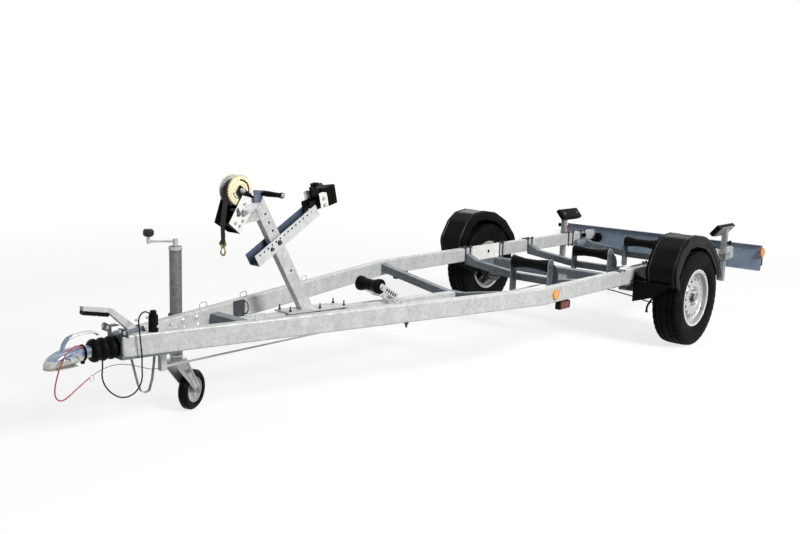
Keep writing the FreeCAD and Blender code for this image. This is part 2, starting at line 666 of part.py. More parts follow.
def wheel_rim():
    """The left steel wheel: a drop-centre rim and a dished disc with a ring of holes."""
    centre = V(AXLE_X, WHEEL_HALF_TRACK, TYRE_RADIUS)
    half, wall = RIM_WIDTH / 2, RIM_WALL
    bead = RIM_RADIUS - RIM_LIP
    shoulder = half - 2 * RIM_LIP
    well = half / 2
    outline = [(-half, RIM_RADIUS), (-half + wall, RIM_RADIUS), (-half + wall, bead),
               (-shoulder, bead), (-well, RIM_WELL_RADIUS), (well - RIM_LIP, RIM_WELL_RADIUS),
               (shoulder, bead), (half - wall, bead), (half - wall, RIM_RADIUS), (half, RIM_RADIUS),
               (half, bead - wall), (shoulder, bead - wall), (well - RIM_LIP, RIM_WELL_RADIUS - wall),
               (-well, RIM_WELL_RADIUS - wall), (-shoulder, bead - wall), (-half, bead - wall)]
    barrel = turned(outline, centre, Y_AXIS)
    face = DISC_OUTSET
    crown = DISC_OUTSET + RIM_LIP
    edge = RIM_WELL_RADIUS - wall
    thickness = DISC_THICKNESS
    disc = [(face - thickness, HUB_CAP_RADIUS + SEAT_GAP), (face - thickness, STUD_CIRCLE + wall * 3),
            (crown - thickness, STUD_CIRCLE + wall * 6), (crown - thickness, DISC_HOLE_CIRCLE - wall),
            (DISC_SEAT, edge - wall), (DISC_SEAT, edge + wall / 2), (DISC_SEAT + thickness * 2, edge + wall / 2),
            (crown, DISC_HOLE_CIRCLE + wall), (crown, STUD_CIRCLE + wall * 5),
            (face, STUD_CIRCLE + wall * 2), (face, HUB_CAP_RADIUS + SEAT_GAP)]
    shape = fuse(barrel, turned(disc, centre, Y_AXIS))
    for index in range(DISC_HOLE_COUNT):
        angle = math.radians(index * FULL_TURN / DISC_HOLE_COUNT)
        place = centre + V(math.cos(angle) * DISC_HOLE_CIRCLE, -half, math.sin(angle) * DISC_HOLE_CIRCLE)
        shape = shape.cut(rod(DISC_HOLE_RADIUS, place, place + Y_AXIS * RIM_WIDTH))
    for index in range(STUD_COUNT):
        angle = math.radians(index * FULL_TURN / STUD_COUNT + QUARTER_TURN)
        place = centre + V(math.cos(angle) * STUD_CIRCLE, -half, math.sin(angle) * STUD_CIRCLE)
        shape = shape.cut(rod(STUD_RADIUS + SEAT_GAP, place, place + Y_AXIS * RIM_WIDTH))
    return shape


def tyre():
    """The left tyre, with its beads on the rim's shoulders."""
    centre = V(AXLE_X, WHEEL_HALF_TRACK, TYRE_RADIUS)
    half = TYRE_WIDTH / 2
    bead_half = RIM_WIDTH / 2 - RIM_WALL - SEAT_GAP
    bead = RIM_RADIUS - RIM_LIP + SEAT_GAP
    rim_top = RIM_RADIUS + RIM_WALL
    tread_half = half - RIM_LIP
    shoulder = TYRE_RADIUS - RIM_LIP
    belly = (TYRE_RADIUS + RIM_RADIUS) / 2
    wall = RIM_LIP
    outline = [(-bead_half, bead), (-bead_half, rim_top), (-half + RIM_WALL, rim_top + wall),
               (-half, belly), (-half + RIM_WALL, shoulder - wall), (-tread_half, TYRE_RADIUS - RIM_WALL),
               (-tread_half + wall * 2, TYRE_RADIUS), (tread_half - wall * 2, TYRE_RADIUS),
               (tread_half, TYRE_RADIUS - RIM_WALL), (half - RIM_WALL, shoulder - wall),
               (half, belly), (half - RIM_WALL, rim_top + wall), (bead_half, rim_top), (bead_half, bead),
               (bead_half - wall, bead), (half - wall * 2, belly), (tread_half - wall, shoulder),
               (-tread_half + wall, shoulder), (-half + wall * 2, belly), (-bead_half + wall, bead)]
    return turned(outline, centre, Y_AXIS)


def guard_arch(inset, extension):
    """The mudguard's arch in XZ, drawn in to the axle by an inset; its two ends may be extended."""
    rise = GUARD_TOP - GUARD_LOW
    points = [V(GUARD_FRONT_REACH * x, 0, GUARD_LOW + rise * z - TYRE_RADIUS) for x, z in GUARD_FRONT_SHARES]
    points += [V(-GUARD_REAR_REACH * x, 0, GUARD_LOW + rise * z - TYRE_RADIUS) for x, z in GUARD_REAR_SHARES]
    points = [point * (1 - inset / point.Length) for point in points]
    for end, following in ((0, 1), (-1, -2)):
        outward = (points[end] - points[following]).normalize()
        points[end] = points[end] + outward * extension
    return [point + V(AXLE_X, 0, TYRE_RADIUS) for point in points]


def guard_block(inset, extension, y0, y1):
    """The solid inside the arch, from y0 to y1, with rounded bends."""
    face = polygon_face([point + Y_AXIS * y0 for point in guard_arch(inset, extension)])
    shape = face.extrude(Y_AXIS * (y1 - y0))
    bends = [edge for edge in shape.Edges
             if abs(edge.tangentAt(edge.FirstParameter).y) > ARC_SHARE and edge.CenterOfMass.z > STAY_HIGH]
    return shape.makeFillet(GUARD_BEND - inset, bends)


def rounded_side(shape, y, radius):
    """The same arch with its edges in the plane at y rounded, but for the one along the open bottom."""
    edges = [edge for edge in shape.Edges
             if edge.BoundBox.YLength < RUNNING_FIT and abs(edge.CenterOfMass.y - y) < RUNNING_FIT
             and edge.BoundBox.XLength < GUARD_FRONT_REACH]
    return shape.makeFillet(radius, edges)


def mudguard():
    """The left mudguard: a moulded arch with a lip at both sides, and its stay to the rail."""
    wall = GUARD_WALL
    outer = rounded_side(guard_block(0, 0, GUARD_INNER, GUARD_OUTER), GUARD_INNER, GUARD_EDGE_INNER)
    outer = rounded_side(outer, GUARD_OUTER, GUARD_EDGE_OUTER)
    inner = rounded_side(guard_block(wall, OVERRUN, GUARD_INNER + wall, GUARD_OUTER - wall),
                         GUARD_INNER + wall, GUARD_EDGE_INNER - wall)
    inner = rounded_side(inner, GUARD_OUTER - wall, GUARD_EDGE_OUTER - wall)
    opening = guard_block(GUARD_LIP, OVERRUN, GUARD_INNER - OVERRUN, GUARD_OUTER + OVERRUN)
    shell = outer.cut(inner).cut(opening)
    front = AXLE_X + GUARD_FRONT_REACH - STAY_BEHIND_GUARD_FRONT
    width, height = GUARD_OUTER - FRAME_HALF - GUARD_LIP, STAY_HIGH - STAY_LOW
    face = polygon_face([V(front, FRAME_HALF + width * y, STAY_LOW + height * z) for y, z in STAY_SHARES])
    stay = face.extrude(X_AXIS * -STAY_THICKNESS)
    strip_top = STAY_LOW + height * STAY_SHARES[3][1]
    strip = block(front - STAY_THICKNESS, front + STAY_STRIP, FRAME_HALF + STAY_THICKNESS, FRAME_HALF + width,
                  strip_top - STAY_THICKNESS, strip_top)
    foot = block(front - GUARD_LIP, front, FRAME_HALF, FRAME_HALF + STAY_THICKNESS, RAIL_BOTTOM, STAY_HIGH)
    return fuse(shell, stay, strip, foot)


# Keel rollers

def roller(centre, length, bore):
    """A black waisted rubber roller about a line across the trailer."""
    half = length / 2
    edge = ROLLER_END_RADIUS
    waist = ROLLER_WAIST_RADIUS
    lip = edge - waist
    rim = [(-half, bore), (-half, edge - lip / 3), (-half + lip / 3, edge), (-half + 2 * lip, edge),
           (-half / 3, waist), (half / 3, waist), (half - 2 * lip, edge), (half - lip / 3, edge),
           (half, edge - lip / 3), (half, bore)]
    return turned(rim, centre, Y_AXIS)


def roller_centre(index):
    """Rollers hang in brackets on the front faces of the cross members."""
    x = roller_cross_x(index) + CROSS_SIZE / 2 + ROLLER_AHEAD_OF_CROSS
    return V(x, 0, ROLLER_AXIS_Z)


def cheek(back, y):
    """One side bracket: an arched plate with a flange turned outward on the member's front face."""
    half = CHEEK_DEPTH / 2
    shoulder = CHEEK_TOP - half
    plate = block(back, back + CHEEK_DEPTH, y, y + CHEEK_THICKNESS, CHEEK_BOTTOM, shoulder)
    crown = rod(half, V(back + half, y, shoulder), V(back + half, y + CHEEK_THICKNESS, shoulder))
    height = CHEEK_TOP - half - CHEEK_BOTTOM
    face = polygon_face([V(back, y + CHEEK_FLANGE * across, CHEEK_BOTTOM + height * up)
                         for across, up in CHEEK_FLANGE_SHARES])
    return fuse(plate, crown, face.extrude(X_AXIS * CHEEK_THICKNESS))


def roller_bracket(index):
    """A pair of cheeks and the pin that the roller turns on."""
    centre = roller_centre(index)
    y = ROLLER_LENGTH / 2 + CHEEK_GAP
    left = cheek(centre.x - ROLLER_AHEAD_OF_CROSS, y)
    end = y + CHEEK_THICKNESS + PIN_HEAD_LENGTH
    pin = rod(ROLLER_PIN_RADIUS, V(centre.x, -end, centre.z), V(centre.x, end, centre.z))
    return fuse(left, mirrored(left), pin)


FRONT_ROLLER_X = POST_X - FRONT_ROLLER_BACK_OF_POST
FRONT_ARM_FOOT_X = FRONT_ROLLER_X - FRONT_ARM_FOOT_BACK
FRONT_ARM_FOOT_Z = keel_top_at(FRONT_ARM_FOOT_X) - KEEL_SIZE / 2


def roller_arm():
    """Two slotted strips from a cross bolt on the keel tube up to the front roller."""
    foot = V(FRONT_ARM_FOOT_X, 0, FRONT_ARM_FOOT_Z)
    head = V(FRONT_ROLLER_X, 0, FRONT_ROLLER_Z)
    along = (head - foot).normalize()
    side = along.cross(Y_AXIS)
    length = (head - foot).Length
    half = FRONT_ARM_WIDTH / 2
    outer = FRONT_ROLLER_LENGTH / 2 + CHEEK_GAP
    inner = KEEL_SIZE / 2
    thickness = Y_AXIS * FRONT_ARM_THICKNESS
    kink = length / 2
    lower = polygon_face([foot + side * half, foot + along * kink + side * half,
                          foot + along * kink - side * half, foot - side * half])
    upper = polygon_face([foot + along * kink + side * half, head + side * half,
                          head - side * half, foot + along * kink - side * half])
    strip = fuse(lower.extrude(thickness).translated(Y_AXIS * inner),
                 rod(half, foot + Y_AXIS * inner, foot + Y_AXIS * inner + thickness))
    top = fuse(upper.extrude(thickness).translated(Y_AXIS * outer),
               rod(half, head + Y_AXIS * outer, head + Y_AXIS * outer + thickness))
    joggle = polygon_face([foot + along * (kink - FRONT_ARM_THICKNESS) + side * half,
                           foot + along * (kink + FRONT_ARM_THICKNESS) + side * half,
                           foot + along * (kink + FRONT_ARM_THICKNESS) - side * half,
                           foot + along * (kink - FRONT_ARM_THICKNESS) - side * half])
    bridge = joggle.extrude(Y_AXIS * (outer - inner + FRONT_ARM_THICKNESS)).translated(Y_AXIS * inner)
    left = fuse(strip, top, bridge)
    slot_radius = half / 4
    for index in range(FRONT_ARM_SLOTS):
        place = foot + along * (length * (index + 1) / (2 * FRONT_ARM_SLOTS + 2))
        left = left.cut(rod(slot_radius, place, place + Y_AXIS * (inner + 2 * FRONT_ARM_THICKNESS)))
    end = outer + FRONT_ARM_THICKNESS + PIN_HEAD_LENGTH
    pin = rod(ROLLER_PIN_RADIUS, head - Y_AXIS * end, head + Y_AXIS * end)
    return fuse(left, mirrored(left), pin)


# Side supports

SIDE_POST_Y = FRAME_HALF + SIDE_CLAMP_THICKNESS + SIDE_POST_SIZE / 2


def pad_placement(x):
    return FreeCAD.Placement(V(x, SIDE_POST_Y, SIDE_POST_TOP), FreeCAD.Rotation(X_AXIS, PAD_TILT))


def side_post(ahead, shift):
    """A support post with the clamp plate that holds it to the rail, drawn on the trailer's left."""
    x = TAIL_X + ahead
    tilt = math.radians(PAD_TILT)
    top = V(x, SIDE_POST_Y, SIDE_POST_TOP)
    post = box_tube(SIDE_POST_SIZE, SIDE_POST_SIZE, RAIL_WALL, RAIL_WALL,
                    V(x, SIDE_POST_Y, SIDE_POST_BOTTOM), top + Z_AXIS * SIDE_POST_SIZE, up=Y_AXIS)
    half = SIDE_CLAMP_LENGTH / 2
    plate = block(x - half, x + half, FRAME_HALF, FRAME_HALF + SIDE_CLAMP_THICKNESS, RAIL_BOTTOM, RAIL_TOP)
    cap = Part.makeBox(PAD_LENGTH * 3 / 4, PAD_WIDTH, PAD_PLATE, V(-PAD_LENGTH * 3 / 8, -PAD_WIDTH / 2, 0))
    cap.Placement = pad_placement(x + shift)
    bevel = half_space(top, V(0, -math.sin(tilt), math.cos(tilt)))
    return fuse(post.cut(bevel), plate, cap)


def side_pad(ahead, shift):
    """The pad that the hull leans on, tilted in to the keel, drawn on the trailer's left."""
    pad = Part.makeBox(PAD_LENGTH, PAD_WIDTH, PAD_THICKNESS, V(-PAD_LENGTH / 2, -PAD_WIDTH / 2, PAD_PLATE))
    upper = [edge for edge in pad.Edges if edge.CenterOfMass.z > PAD_PLATE + PAD_THICKNESS * 3 / 4]
    pad = pad.makeFillet(PAD_THICKNESS / 4, upper)
    pad.Placement = pad_placement(TAIL_X + ahead + shift)
    return pad


# Light board

def light_board():
    """The rear sheet with a flange turned forward along its top."""
    rear = TAIL_X - BOARD_THICKNESS
    sheet = block(rear, TAIL_X, -BOARD_HALF, BOARD_HALF, BOARD_BOTTOM, BOARD_TOP)
    flange = block(rear, TAIL_X + BOARD_FLANGE, -BOARD_HALF, BOARD_HALF,
                   BOARD_TOP - BOARD_THICKNESS, BOARD_TOP)
    return fuse(sheet, flange)


def tail_lamp():
    rear = TAIL_X - BOARD_THICKNESS
    lamp = block(rear - TAIL_LAMP_DEPTH, rear, BOARD_HALF - TAIL_LAMP_WIDTH, BOARD_HALF,
                 TAIL_LAMP_BOTTOM, TAIL_LAMP_BOTTOM + TAIL_LAMP_HEIGHT)
    edges = [edge for edge in lamp.Edges if edge.CenterOfMass.x < rear - TAIL_LAMP_DEPTH * 3 / 4]
    return lamp.makeFillet(TAIL_LAMP_DEPTH / 4, edges)


# Winch post, bow stop and winch

LEAN = math.radians(POST_LEAN)
POST_UP = V(math.sin(LEAN), 0, math.cos(LEAN))
POST_OUT = V(math.cos(LEAN), 0, -math.sin(LEAN))
KEEL_ALONG = V(math.cos(KEEL_SLOPE), 0, math.sin(KEEL_SLOPE))
KEEL_NORMAL = V(-math.sin(KEEL_SLOPE), 0, math.cos(KEEL_SLOPE))
POST_FOOT = V(POST_X, 0, keel_top_at(POST_X)) + KEEL_NORMAL * POST_PLATE_THICKNESS


def post_point(along, out, y=0):
    return POST_FOOT + POST_UP * along + POST_OUT * out + Y_AXIS * y


SLOPE = math.radians(WINCH_SLOPE)
WINCH_ALONG = V(math.cos(SLOPE), 0, -math.sin(SLOPE))
WINCH_OUT = V(math.sin(SLOPE), 0, math.cos(SLOPE))
WINCH_TOP = post_point(POST_LENGTH, POST_DEPTH / 2)


def winch_post():
    """The leaning box post welded on a long foot plate that is clamped to the keel tube."""
    post = box_tube(POST_DEPTH, POST_WIDTH, POST_WALL, POST_WALL,
                    post_point(-POST_DEPTH, 0), post_point(POST_LENGTH, 0), up=Y_AXIS)
    post = post.common(half_space(POST_FOOT, KEEL_NORMAL))
    plate = Part.makeBox(POST_PLATE_LENGTH, POST_PLATE_WIDTH, POST_PLATE_THICKNESS,
                         V(POST_PLATE_FRONT - POST_PLATE_LENGTH, -POST_PLATE_WIDTH / 2, -POST_PLATE_THICKNESS))
    plate.Placement = FreeCAD.Placement(POST_FOOT, FreeCAD.Rotation(KEEL_ALONG, Y_AXIS, KEEL_NORMAL, "XYZ"))
    inner = POST_WIDTH / 2 - 2 * POST_WALL
    gusset = polygon_face([WINCH_TOP + Y_AXIS * inner,
                           post_point(POST_LENGTH - WINCH_GUSSET_UP, POST_DEPTH / 2, inner),
                           WINCH_TOP + WINCH_ALONG * WINCH_GUSSET_OUT + Y_AXIS * inner])
    gusset = gusset.extrude(Y_AXIS * POST_WALL)
    return fuse(post, plate, gusset, mirrored(gusset))


def bow_arm_frame():
    """Placement of the bow arm: its X runs back and up, square to the post."""
    origin = post_point(BOW_ARM_CROSSING, 0)
    return FreeCAD.Placement(origin, FreeCAD.Rotation(-POST_OUT, Y_AXIS * -1, POST_UP, "XYZ"))


def bow_arm():
    """A perforated channel, open at the top, with the post through a slot in its floor."""
    half = BOW_ARM_WIDTH / 2
    wall, height = BOW_ARM_WALL, BOW_ARM_HEIGHT
    floor = -height / 2
    outer = Part.makeBox(BOW_ARM_FRONT + BOW_ARM_REAR, BOW_ARM_WIDTH, height,
                         V(-BOW_ARM_FRONT, -half, floor))
    inner = Part.makeBox(BOW_ARM_FRONT + BOW_ARM_REAR + 2 * OVERRUN, BOW_ARM_WIDTH - 2 * wall, height,
                         V(-BOW_ARM_FRONT - OVERRUN, -half + wall, floor + wall))
    slot_x = POST_DEPTH / 2 + SEAT_GAP
    slot_y = POST_WIDTH / 2 + SEAT_GAP
    slot = Part.makeBox(2 * slot_x, 2 * slot_y, height, V(-slot_x, -slot_y, floor - height / 2))
    shape = outer.cut(inner).cut(slot)
    hole_z = height / 2 - 3 * BOW_ARM_HOLE_RADIUS
    count = int((BOW_ARM_FRONT + BOW_ARM_REAR) / BOW_ARM_HOLE_PITCH) - 1
    for index in range(count):
        x = -BOW_ARM_FRONT + BOW_ARM_HOLE_PITCH * (index + 1)
        shape = shape.cut(rod(BOW_ARM_HOLE_RADIUS, V(x, -half - OVERRUN, hole_z), V(x, half + OVERRUN, hole_z)))
    pin = rod(BOW_PIN_RADIUS, V(0, -half, 0), V(0, half, 0))
    clear = rod(BOW_PIN_RADIUS, V(0, -slot_y, 0), V(0, slot_y, 0))
    shape = fuse(shape, pin.cut(clear))
    shape.Placement = bow_arm_frame()
    return shape


def bow_block_frame():
    origin = bow_arm_frame().multVec(V(BOW_ARM_REAR, 0, 0))
    tilt = math.radians(BOW_BLOCK_TILT)
    along = V(-math.cos(tilt), 0, math.sin(tilt))
    up = V(math.sin(tilt), 0, math.cos(tilt))
    return FreeCAD.Placement(origin, FreeCAD.Rotation(along, Y_AXIS * -1, up, "XYZ"))


def bow_bracket():
    """Two cheek plates that hold the rubber block at the arm's rear end."""
    frame = bow_block_frame()
    half = BOW_ARM_WIDTH / 2 - BOW_ARM_WALL
    reach = BOW_BLOCK_DEPTH / 2
    plate = Part.makeBox(reach + BOW_BLOCK_DEPTH / 2, BOW_PLATE, BOW_BLOCK_HEIGHT / 2,
                         V(-BOW_BLOCK_DEPTH / 2, half - BOW_PLATE, 0))
    base = Part.makeBox(BOW_PLATE, 2 * half, BOW_BLOCK_HEIGHT, V(reach - BOW_PLATE, -half, 0))
    other = plate.mirror(V(0, 0, 0), Y_AXIS)
    shape = fuse(plate, other, base)
    shape.Placement = frame
    return shape


def bow_block():
    """The black rubber block with the V that takes the stem."""
    frame = bow_block_frame()
    half = BOW_BLOCK_WIDTH / 2
    start = BOW_BLOCK_DEPTH / 2
    block_solid = Part.makeBox(BOW_BLOCK_DEPTH, BOW_BLOCK_WIDTH, BOW_BLOCK_HEIGHT, V(start, -half, 0))
    depth = BOW_BLOCK_DEPTH / 3
    notch = polygon_face([V(start + BOW_BLOCK_DEPTH - depth, 0, -OVERRUN),
                          V(start + BOW_BLOCK_DEPTH + OVERRUN, half, -OVERRUN),
                          V(start + BOW_BLOCK_DEPTH + OVERRUN, -half, -OVERRUN)])
    shape = block_solid.cut(notch.extrude(V(0, 0, BOW_BLOCK_HEIGHT + 2 * OVERRUN)))
    shape.Placement = frame
    return shape


BEARING = math.radians(PINION_ANGLE)
CENTRE_DISTANCE = GEAR_MODULE * (GEAR_TEETH + PINION_TEETH) / 2
PINION_ALONG = DRUM_ALONG + CENTRE_DISTANCE * math.cos(BEARING)
PINION_ABOVE = DRUM_ABOVE + CENTRE_DISTANCE * math.sin(BEARING)


def winch_point(along, above, y=0):
    """A point of the winch: along its base from the post's top, and above the base."""
    return WINCH_TOP + WINCH_ALONG * along + WINCH_OUT * above + Y_AXIS * y


def winch_slab(points, y0, y1):
    face = polygon_face([winch_point(along, above, y0) for along, above in points])
    return face.extrude(Y_AXIS * (y1 - y0))


def winch_bore(along, above, radius):
    """A hole through the whole winch."""
    half = WINCH_HALF_WIDTH + OVERRUN
    return rod(radius, winch_point(along, above, -half), winch_point(along, above, half))


def winch_frame():
    """The black channel: base, two side plates that carry the drum, and the strap's fairlead."""
    half, wall = WINCH_HALF_WIDTH, WINCH_PLATE
    back = -WINCH_HEAD_BACK
    base = winch_slab([(back, 0), (WINCH_BASE_LENGTH, 0), (WINCH_BASE_LENGTH, wall), (back, wall)],
                      -half, half)
    lug = DRUM_ALONG + DRUM_CORE_RADIUS
    right = winch_slab([(back, 0), (WINCH_BASE_LENGTH, 0), (WINCH_BASE_LENGTH, WINCH_SIDE_HEIGHT),
                        (WINCH_SIDE_TOP_LENGTH, WINCH_SIDE_TOP), (DRUM_ALONG - DRUM_CORE_RADIUS, WINCH_SIDE_TOP)],
                       -half, wall - half)
    left = winch_slab([(back, 0), (WINCH_BASE_LENGTH, 0), (WINCH_BASE_LENGTH, COVER_HEIGHT),
                       (lug + DRUM_CORE_RADIUS, COVER_HEIGHT), (lug, WINCH_SIDE_TOP),
                       (DRUM_ALONG - DRUM_CORE_RADIUS, WINCH_SIDE_TOP)], half - wall, half)
    along = WINCH_BASE_LENGTH - FAIRLEAD_INSET
    fairlead = rod(FAIRLEAD_RADIUS, winch_point(along, FAIRLEAD_ABOVE, -half), winch_point(along, FAIRLEAD_ABOVE, half))
    shape = fuse(base, right, left, fairlead)
    shape = shape.cut(winch_bore(DRUM_ALONG, DRUM_ABOVE, DRUM_CORE_RADIUS / 2 + RUNNING_FIT))
    return shape.cut(winch_bore(PINION_ALONG, PINION_ABOVE, CRANK_SHAFT_RADIUS + RUNNING_FIT))


def winch_cover():
    """The pale plate on the outside of the left side plate."""
    half = WINCH_HALF_WIDTH
    side = winch_slab([(-WINCH_HEAD_BACK, 0), (WINCH_BASE_LENGTH, 0), (WINCH_BASE_LENGTH - FAIRLEAD_INSET, COVER_HEIGHT),
                       (DRUM_ALONG + DRUM_CORE_RADIUS, COVER_HEIGHT)], half, half + COVER_THICKNESS)
    return side.cut(winch_bore(PINION_ALONG, PINION_ABOVE, CRANK_SHAFT_RADIUS + RUNNING_FIT))


def gear_wheel(teeth, centre, y0, y1, phase):
    """A spur gear of tapered teeth about a line across the trailer."""
    pitch_radius = GEAR_MODULE * teeth / 2
    root = pitch_radius - GEAR_MODULE * GEAR_ROOT_SHARE
    tip = pitch_radius + GEAR_MODULE * GEAR_TIP_SHARE
    step = math.radians(FULL_TURN / teeth)
    flanks = ((root, -TOOTH_ROOT_SHARE), (tip, -TOOTH_TIP_SHARE), (tip, TOOTH_TIP_SHARE), (root, TOOTH_ROOT_SHARE))
    points = []
    for index in range(teeth):
        middle = index * step + phase
        for radius, share in flanks:
            angle = middle + share * step
            points.append(centre + V(math.cos(angle) * radius, y0, math.sin(angle) * radius))
    return polygon_face(points).extrude(Y_AXIS * (y1 - y0))


def gear_phase(centre, other, teeth, gap):
    """Turn a gear so that a tooth, or a gap, faces the other gear."""
    toward = math.atan2(other.z - centre.z, other.x - centre.x)
    return toward + (math.radians(HALF_TURN / teeth) if gap else 0)


def winch_drum():
    """The strap drum with its right flange and the toothed wheel as its left one."""
    centre = winch_point(DRUM_ALONG, DRUM_ABOVE)
    other = winch_point(PINION_ALONG, PINION_ABOVE)
    half, flange = DRUM_HALF_WIDTH, DRUM_FLANGE
    end = WINCH_HALF_WIDTH
    axle = DRUM_CORE_RADIUS / 2
    boss = half + GEAR_THICKNESS + flange
    profile = [(-end, 0), (-end, axle), (-half - flange, axle), (-half - flange, DRUM_FLANGE_RADIUS),
               (-half, DRUM_FLANGE_RADIUS), (-half, DRUM_CORE_RADIUS), (boss, DRUM_CORE_RADIUS),
               (boss, axle), (end, axle), (end, 0)]
    gear = gear_wheel(GEAR_TEETH, centre, half, half + GEAR_THICKNESS,
                      gear_phase(centre, other, GEAR_TEETH, False))
    return fuse(turned(profile, centre, Y_AXIS), gear)


def strap_roll():
    """The strap wound on the drum."""
    centre = winch_point(DRUM_ALONG, DRUM_ABOVE)
    half = DRUM_HALF_WIDTH - SEAT_GAP
    inner = DRUM_CORE_RADIUS + SEAT_GAP
    return pipe(STRAP_ROLL_RADIUS, inner, centre - Y_AXIS * half, centre + Y_AXIS * half)


def winch_crank():
    """The pinion, its shaft, the flared crank arm and the grip."""
    centre = winch_point(PINION_ALONG, PINION_ABOVE)
    other = winch_point(DRUM_ALONG, DRUM_ABOVE)
    inner = WINCH_HALF_WIDTH + COVER_THICKNESS + CRANK_STANDOFF
    outer = inner + CRANK_ARM_THICKNESS
    shaft = rod(CRANK_SHAFT_RADIUS, centre - Y_AXIS * (WINCH_HALF_WIDTH + RUNNING_FIT),
                centre + Y_AXIS * (outer + CRANK_ARM_THICKNESS))
    pinion = gear_wheel(PINION_TEETH, centre, DRUM_HALF_WIDTH, DRUM_HALF_WIDTH + GEAR_THICKNESS,
                        gear_phase(centre, other, PINION_TEETH, True))
    angle = math.radians(CRANK_REST_ANGLE)
    direction = V(math.cos(angle), 0, math.sin(angle))
    side = V(math.sin(angle), 0, -math.cos(angle))

    def place(shares, y):
        along, across = shares
        return centre + direction * (along * CRANK_ARM_LENGTH) + side * (across * CRANK_ARM_WIDTH) + Y_AXIS * y

    arm = polygon_face([place(shares, inner) for shares in CRANK_ARM_SHARES])
    hub = rod(CRANK_ARM_WIDTH / 2, centre + Y_AXIS * inner, centre + Y_AXIS * outer)
    profile = [(along * GRIP_LENGTH, radius * GRIP_RADIUS) for along, radius in GRIP_SHARES]
    profile = [(0, 0)] + profile + [(GRIP_LENGTH, 0)]
    grip = turned(profile, place(GRIP_PLACE_SHARES, outer), Y_AXIS)
    return fuse(shaft, pinion, arm.extrude(Y_AXIS * CRANK_ARM_THICKNESS), hub, grip)


FAIRLEAD = winch_point(WINCH_BASE_LENGTH - FAIRLEAD_INSET, FAIRLEAD_ABOVE)
STRAP_X = FAIRLEAD.x + FAIRLEAD_RADIUS + SEAT_GAP
HOOK_EYE = V(STRAP_X + STRAP_THICKNESS / 2, 0, HOOK_EYE_Z)


def strap_tail():
    """The strap from the roll over the fairlead, hanging down to a sewn loop."""
    roll = winch_point(DRUM_ALONG, DRUM_ABOVE)
    line = FAIRLEAD - roll
    spread = math.asin((STRAP_ROLL_RADIUS - FAIRLEAD_RADIUS) / line.Length)
    slant = math.atan2(line.z, line.x) - spread
    normal = V(-math.sin(slant), 0, math.cos(slant))
    bisector = (normal + X_AXIS).normalize()
    stretch = bisector.dot(X_AXIS)
    outline = []
    loop = HOOK_BAR_RADIUS + SEAT_GAP
    low = HOOK_EYE.z + loop + STRAP_THICKNESS / 2
    for depth in (SEAT_GAP, SEAT_GAP + STRAP_THICKNESS):
        start = roll + normal * (STRAP_ROLL_RADIUS + depth)
        knee = FAIRLEAD + bisector * ((FAIRLEAD_RADIUS + depth) / stretch)
        side = [start, knee, V(FAIRLEAD.x + FAIRLEAD_RADIUS + depth, 0, low)]
        outline += side if depth == SEAT_GAP else side[::-1]
    face = polygon_face([point - Y_AXIS * STRAP_HALF for point in outline])
    sewn = pipe(loop + STRAP_THICKNESS, loop, HOOK_EYE - Y_AXIS * STRAP_HALF, HOOK_EYE + Y_AXIS * STRAP_HALF)
    return fuse(face.extrude(Y_AXIS * (2 * STRAP_HALF)), sewn)


def snap_hook():
    """The hook as a closed bar through the strap's loop."""
    points = [HOOK_EYE + V(0, across * HOOK_HALF, down * HOOK_LENGTH) for across, down in HOOK_SHARES]
    pieces = []
    for index, point in enumerate(points):
        pieces.append(rod(HOOK_BAR_RADIUS, point, points[(index + 1) % len(points)]))
        pieces.append(Part.makeSphere(HOOK_BAR_RADIUS, point))
    return fuse(*pieces)


# Coupling, overrun brake and handbrake

BELLOWS_START = FRONT_X + FRONT_PLATE_THICKNESS
BELLOWS_END = BELLOWS_START + BELLOWS_LENGTH
HEAD_REAR = BELLOWS_END


def overrun_housing():
    """The housing between the rails, with its under-flange, front plate and lever ears."""
    rear = FRONT_X - HOUSING_LENGTH
    body = block(rear, FRONT_X, -HOUSING_HALF, HOUSING_HALF, RAIL_BOTTOM, HOUSING_TOP)
    top_edges = [edge for edge in body.Edges
                 if edge.CenterOfMass.z > HOUSING_TOP - EAR_THICKNESS and abs(edge.CenterOfMass.y) > EAR_THICKNESS]
    body = body.makeFillet(EAR_INNER, top_edges)
    flange = plate_xy([(FRONT_X, -FLANGE_HALF_FRONT), (FRONT_X, FLANGE_HALF_FRONT),
                       (rear, FLANGE_HALF_REAR), (rear, -FLANGE_HALF_REAR)],
                      RAIL_BOTTOM - FLANGE_THICKNESS, RAIL_BOTTOM)
    plate = block(FRONT_X, FRONT_X + FRONT_PLATE_THICKNESS, -FLANGE_HALF_FRONT, FLANGE_HALF_FRONT,
                  RAIL_BOTTOM - FLANGE_THICKNESS, RAIL_TOP)
    pivot_x = FRONT_X - LEVER_PIVOT_BACK
    ear_outline = [(pivot_x - EAR_INNER * 3, HOUSING_TOP - EAR_THICKNESS), (FRONT_X, HOUSING_TOP - EAR_THICKNESS),
                   (FRONT_X, RAIL_TOP), (pivot_x + EAR_INNER, EAR_TOP), (pivot_x - EAR_INNER, EAR_TOP)]
    ear = plate_xz(ear_outline, EAR_INNER, EAR_INNER + EAR_THICKNESS)
    pin = rod(LEVER_PIN_RADIUS, V(pivot_x, -EAR_INNER - EAR_THICKNESS, LEVER_PIVOT_Z),
              V(pivot_x, EAR_INNER + EAR_THICKNESS, LEVER_PIVOT_Z))
    return fuse(body, flange, plate, ear, mirrored(ear), pin)


